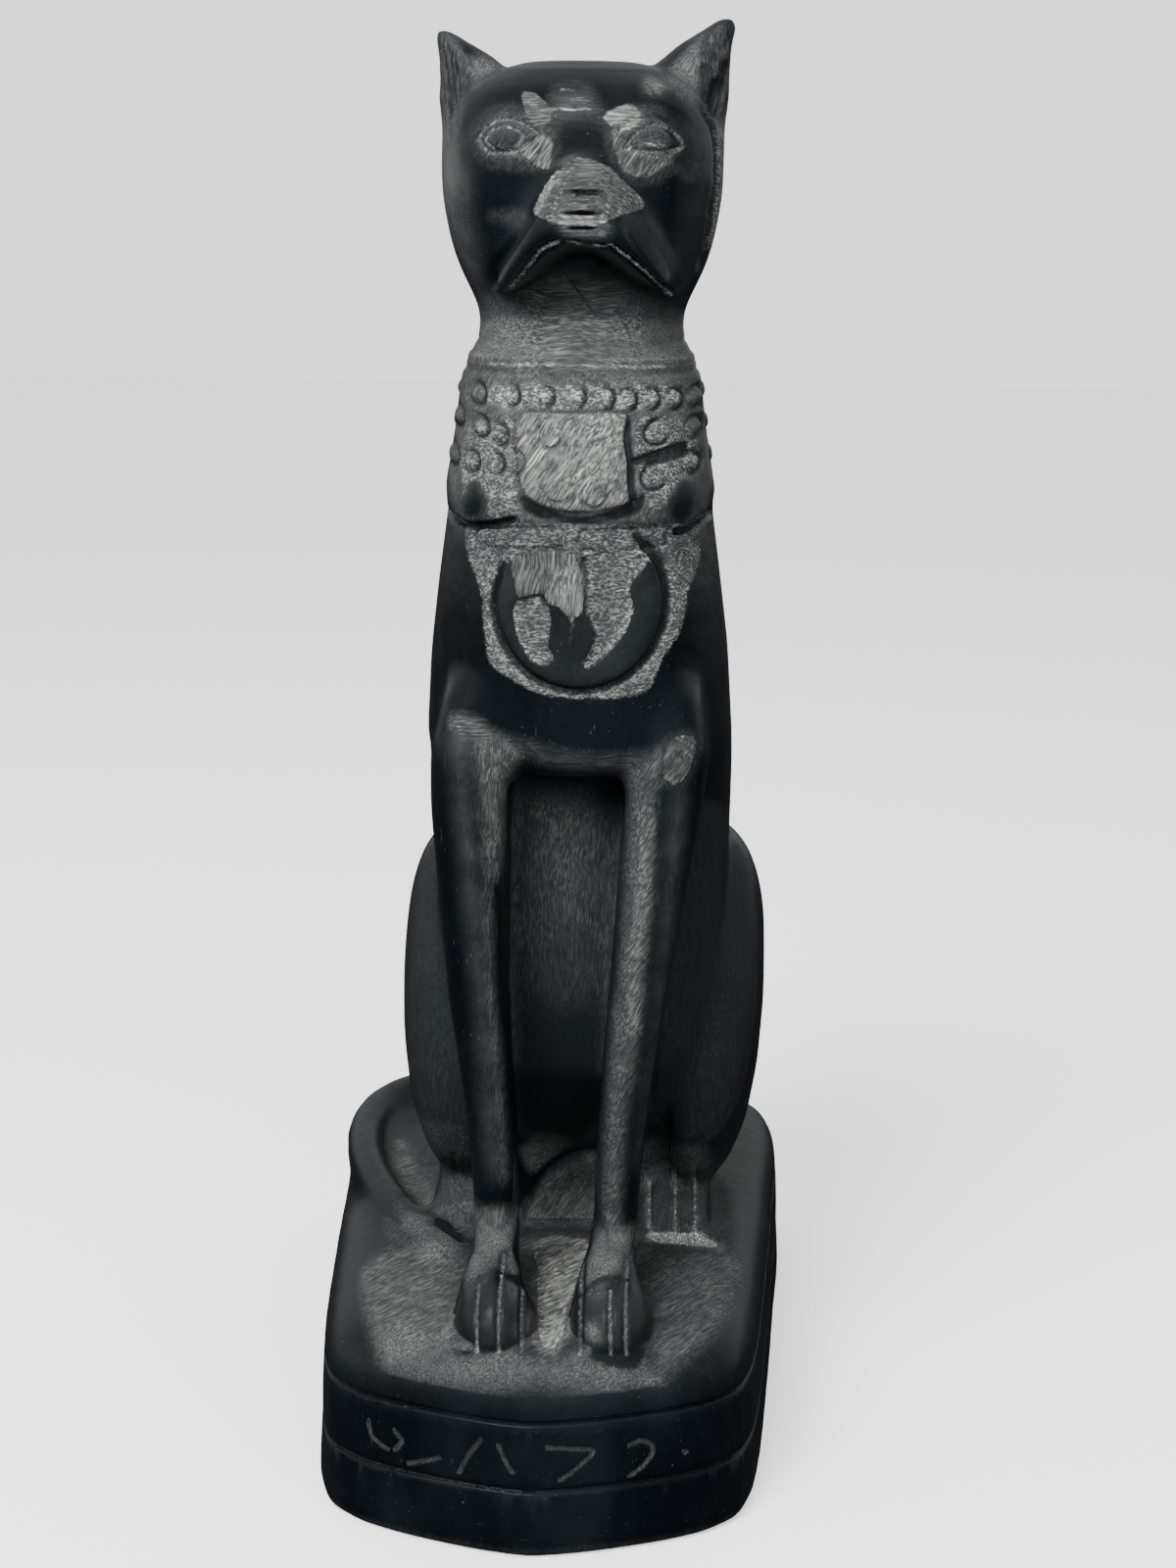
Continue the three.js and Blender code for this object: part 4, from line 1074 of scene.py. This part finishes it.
def walls():
    """Pale walls behind the figure and beside it, and a dim room on the camera's side."""
    world = bpy.data.worlds.new("studio")
    bpy.context.scene.world = world
    world.use_nodes = True
    tree = world.node_tree
    board = Board(tree)
    background = tree.nodes["Background"]
    way = board.add("TexCoord", {}).outputs["Generated"]
    parts = board.add("SeparateXYZ", {0: way}).outputs
    behind = board.step(parts["Y"], -0.35, 0.5)
    above = board.times(board.step(parts["Z"], 0.25, 1.0), 0.5)
    beside = board.step(parts["X"], -0.2, -0.9)
    glow = board.mixed(board.either(board.either(behind, above), beside), *ROOM_GLOW)
    seen = board.add("LightPath", {}).outputs["Is Camera Ray"]
    tree.links.new(board.mixed(seen, glow, WALL_GLOW), background.inputs["Strength"])
    background.inputs["Color"].default_value = PALE


def studio():
    bpy.ops.mesh.primitive_plane_add(size=6)
    floor = bpy.context.object
    floor.name = "floor"
    paper = bpy.data.materials.new("floor_paper")
    paper.use_nodes = True
    shader = paper.node_tree.nodes["Principled BSDF"]
    board = Board(paper.node_tree)
    seen = board.add("LightPath", {}).outputs["Is Camera Ray"]
    paper.node_tree.links.new(board.tinted(seen, DIM, PALE), shader.inputs["Base Color"])
    paper.node_tree.links.new(board.tinted(seen, (0, 0, 0, 1), PALE), shader.inputs["Emission Color"])
    shader.inputs["Emission Strength"].default_value = FLOOR_GLOW
    shader.inputs["Roughness"].default_value = 0.9
    shader.inputs["Specular IOR Level"].default_value = 0.1
    floor.data.materials.append(paper)
    walls()
    soft_light("key", (-0.35, -0.75, 0.75), (0, 0, 0.13), (0.5, 0.5), 26, mirrored=False)
    soft_light("fill", (0.45, -0.9, 0.3), (0, 0, 0.12), (0.6, 0.6), 10, mirrored=False)
    soft_light("glint", (-0.22, -0.6, 0.8), (0, 0, 0.1), (0.3, 0.3), 2.5)
    sky = bpy.data.lights.new("sky", "SUN")
    sky.angle = math.radians(120)
    sky.energy = 2.2
    above = put_in("sky", sky)
    above.rotation_euler = (math.radians(-12), 0, 0)
    above.visible_glossy = False


# Boxes in which the mesh is made finer: the head and chest, the forepaws and the band.
FINE_BOXES = [((-20, -99, 144), (30, -36, 242)), ((-17, -99, 34), (22, -46, 50)),
              ((-99, -99, BAND[0]), (99, -46, BAND[1]))]
LINE_REACH = 1.6  # how far beside the cut lines it is finer too


def carve():
    piece = rough_out()
    points = points_of(piece)
    below_rim = normals_of(piece)[:, 2] < 0.8
    chosen = np.zeros(len(points), bool)
    for low, high in FINE_BOXES:
        chosen |= ((points > low) & (points < high)).all(1)
    for height in BAND:
        chosen |= below_rim & (abs(points[:, 2] - height) < LINE_REACH)
    refine(piece, chosen)
    stone = Stone(piece)
    for part in (ears, face, collar, disc, legs, plinth):
        part(stone)
    place_points(piece, np.clip(stone.points, BOX_LOW, BOX_HIGH))

    others = {name: getattr(stone, name) for name in ("lay", "tone", "carved", "haze")}
    for name, values in (stone.finish | others).items():
        kept = piece.data.attributes.new(name, "FLOAT", "POINT")
        kept.data.foreach_set("value", values.astype(np.float32))
    triangles = 2 * len(piece.data.polygons)
    apply_modifier(piece, "DECIMATE", ratio=min(1.0, MOST_TRIANGLES / triangles))
    piece.data.materials.clear()
    piece.data.materials.append(stone_material())
    alone(piece)
    bpy.ops.object.shade_smooth()
    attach(piece, "root")
    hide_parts(NODE)


camera()
studio()
carve()
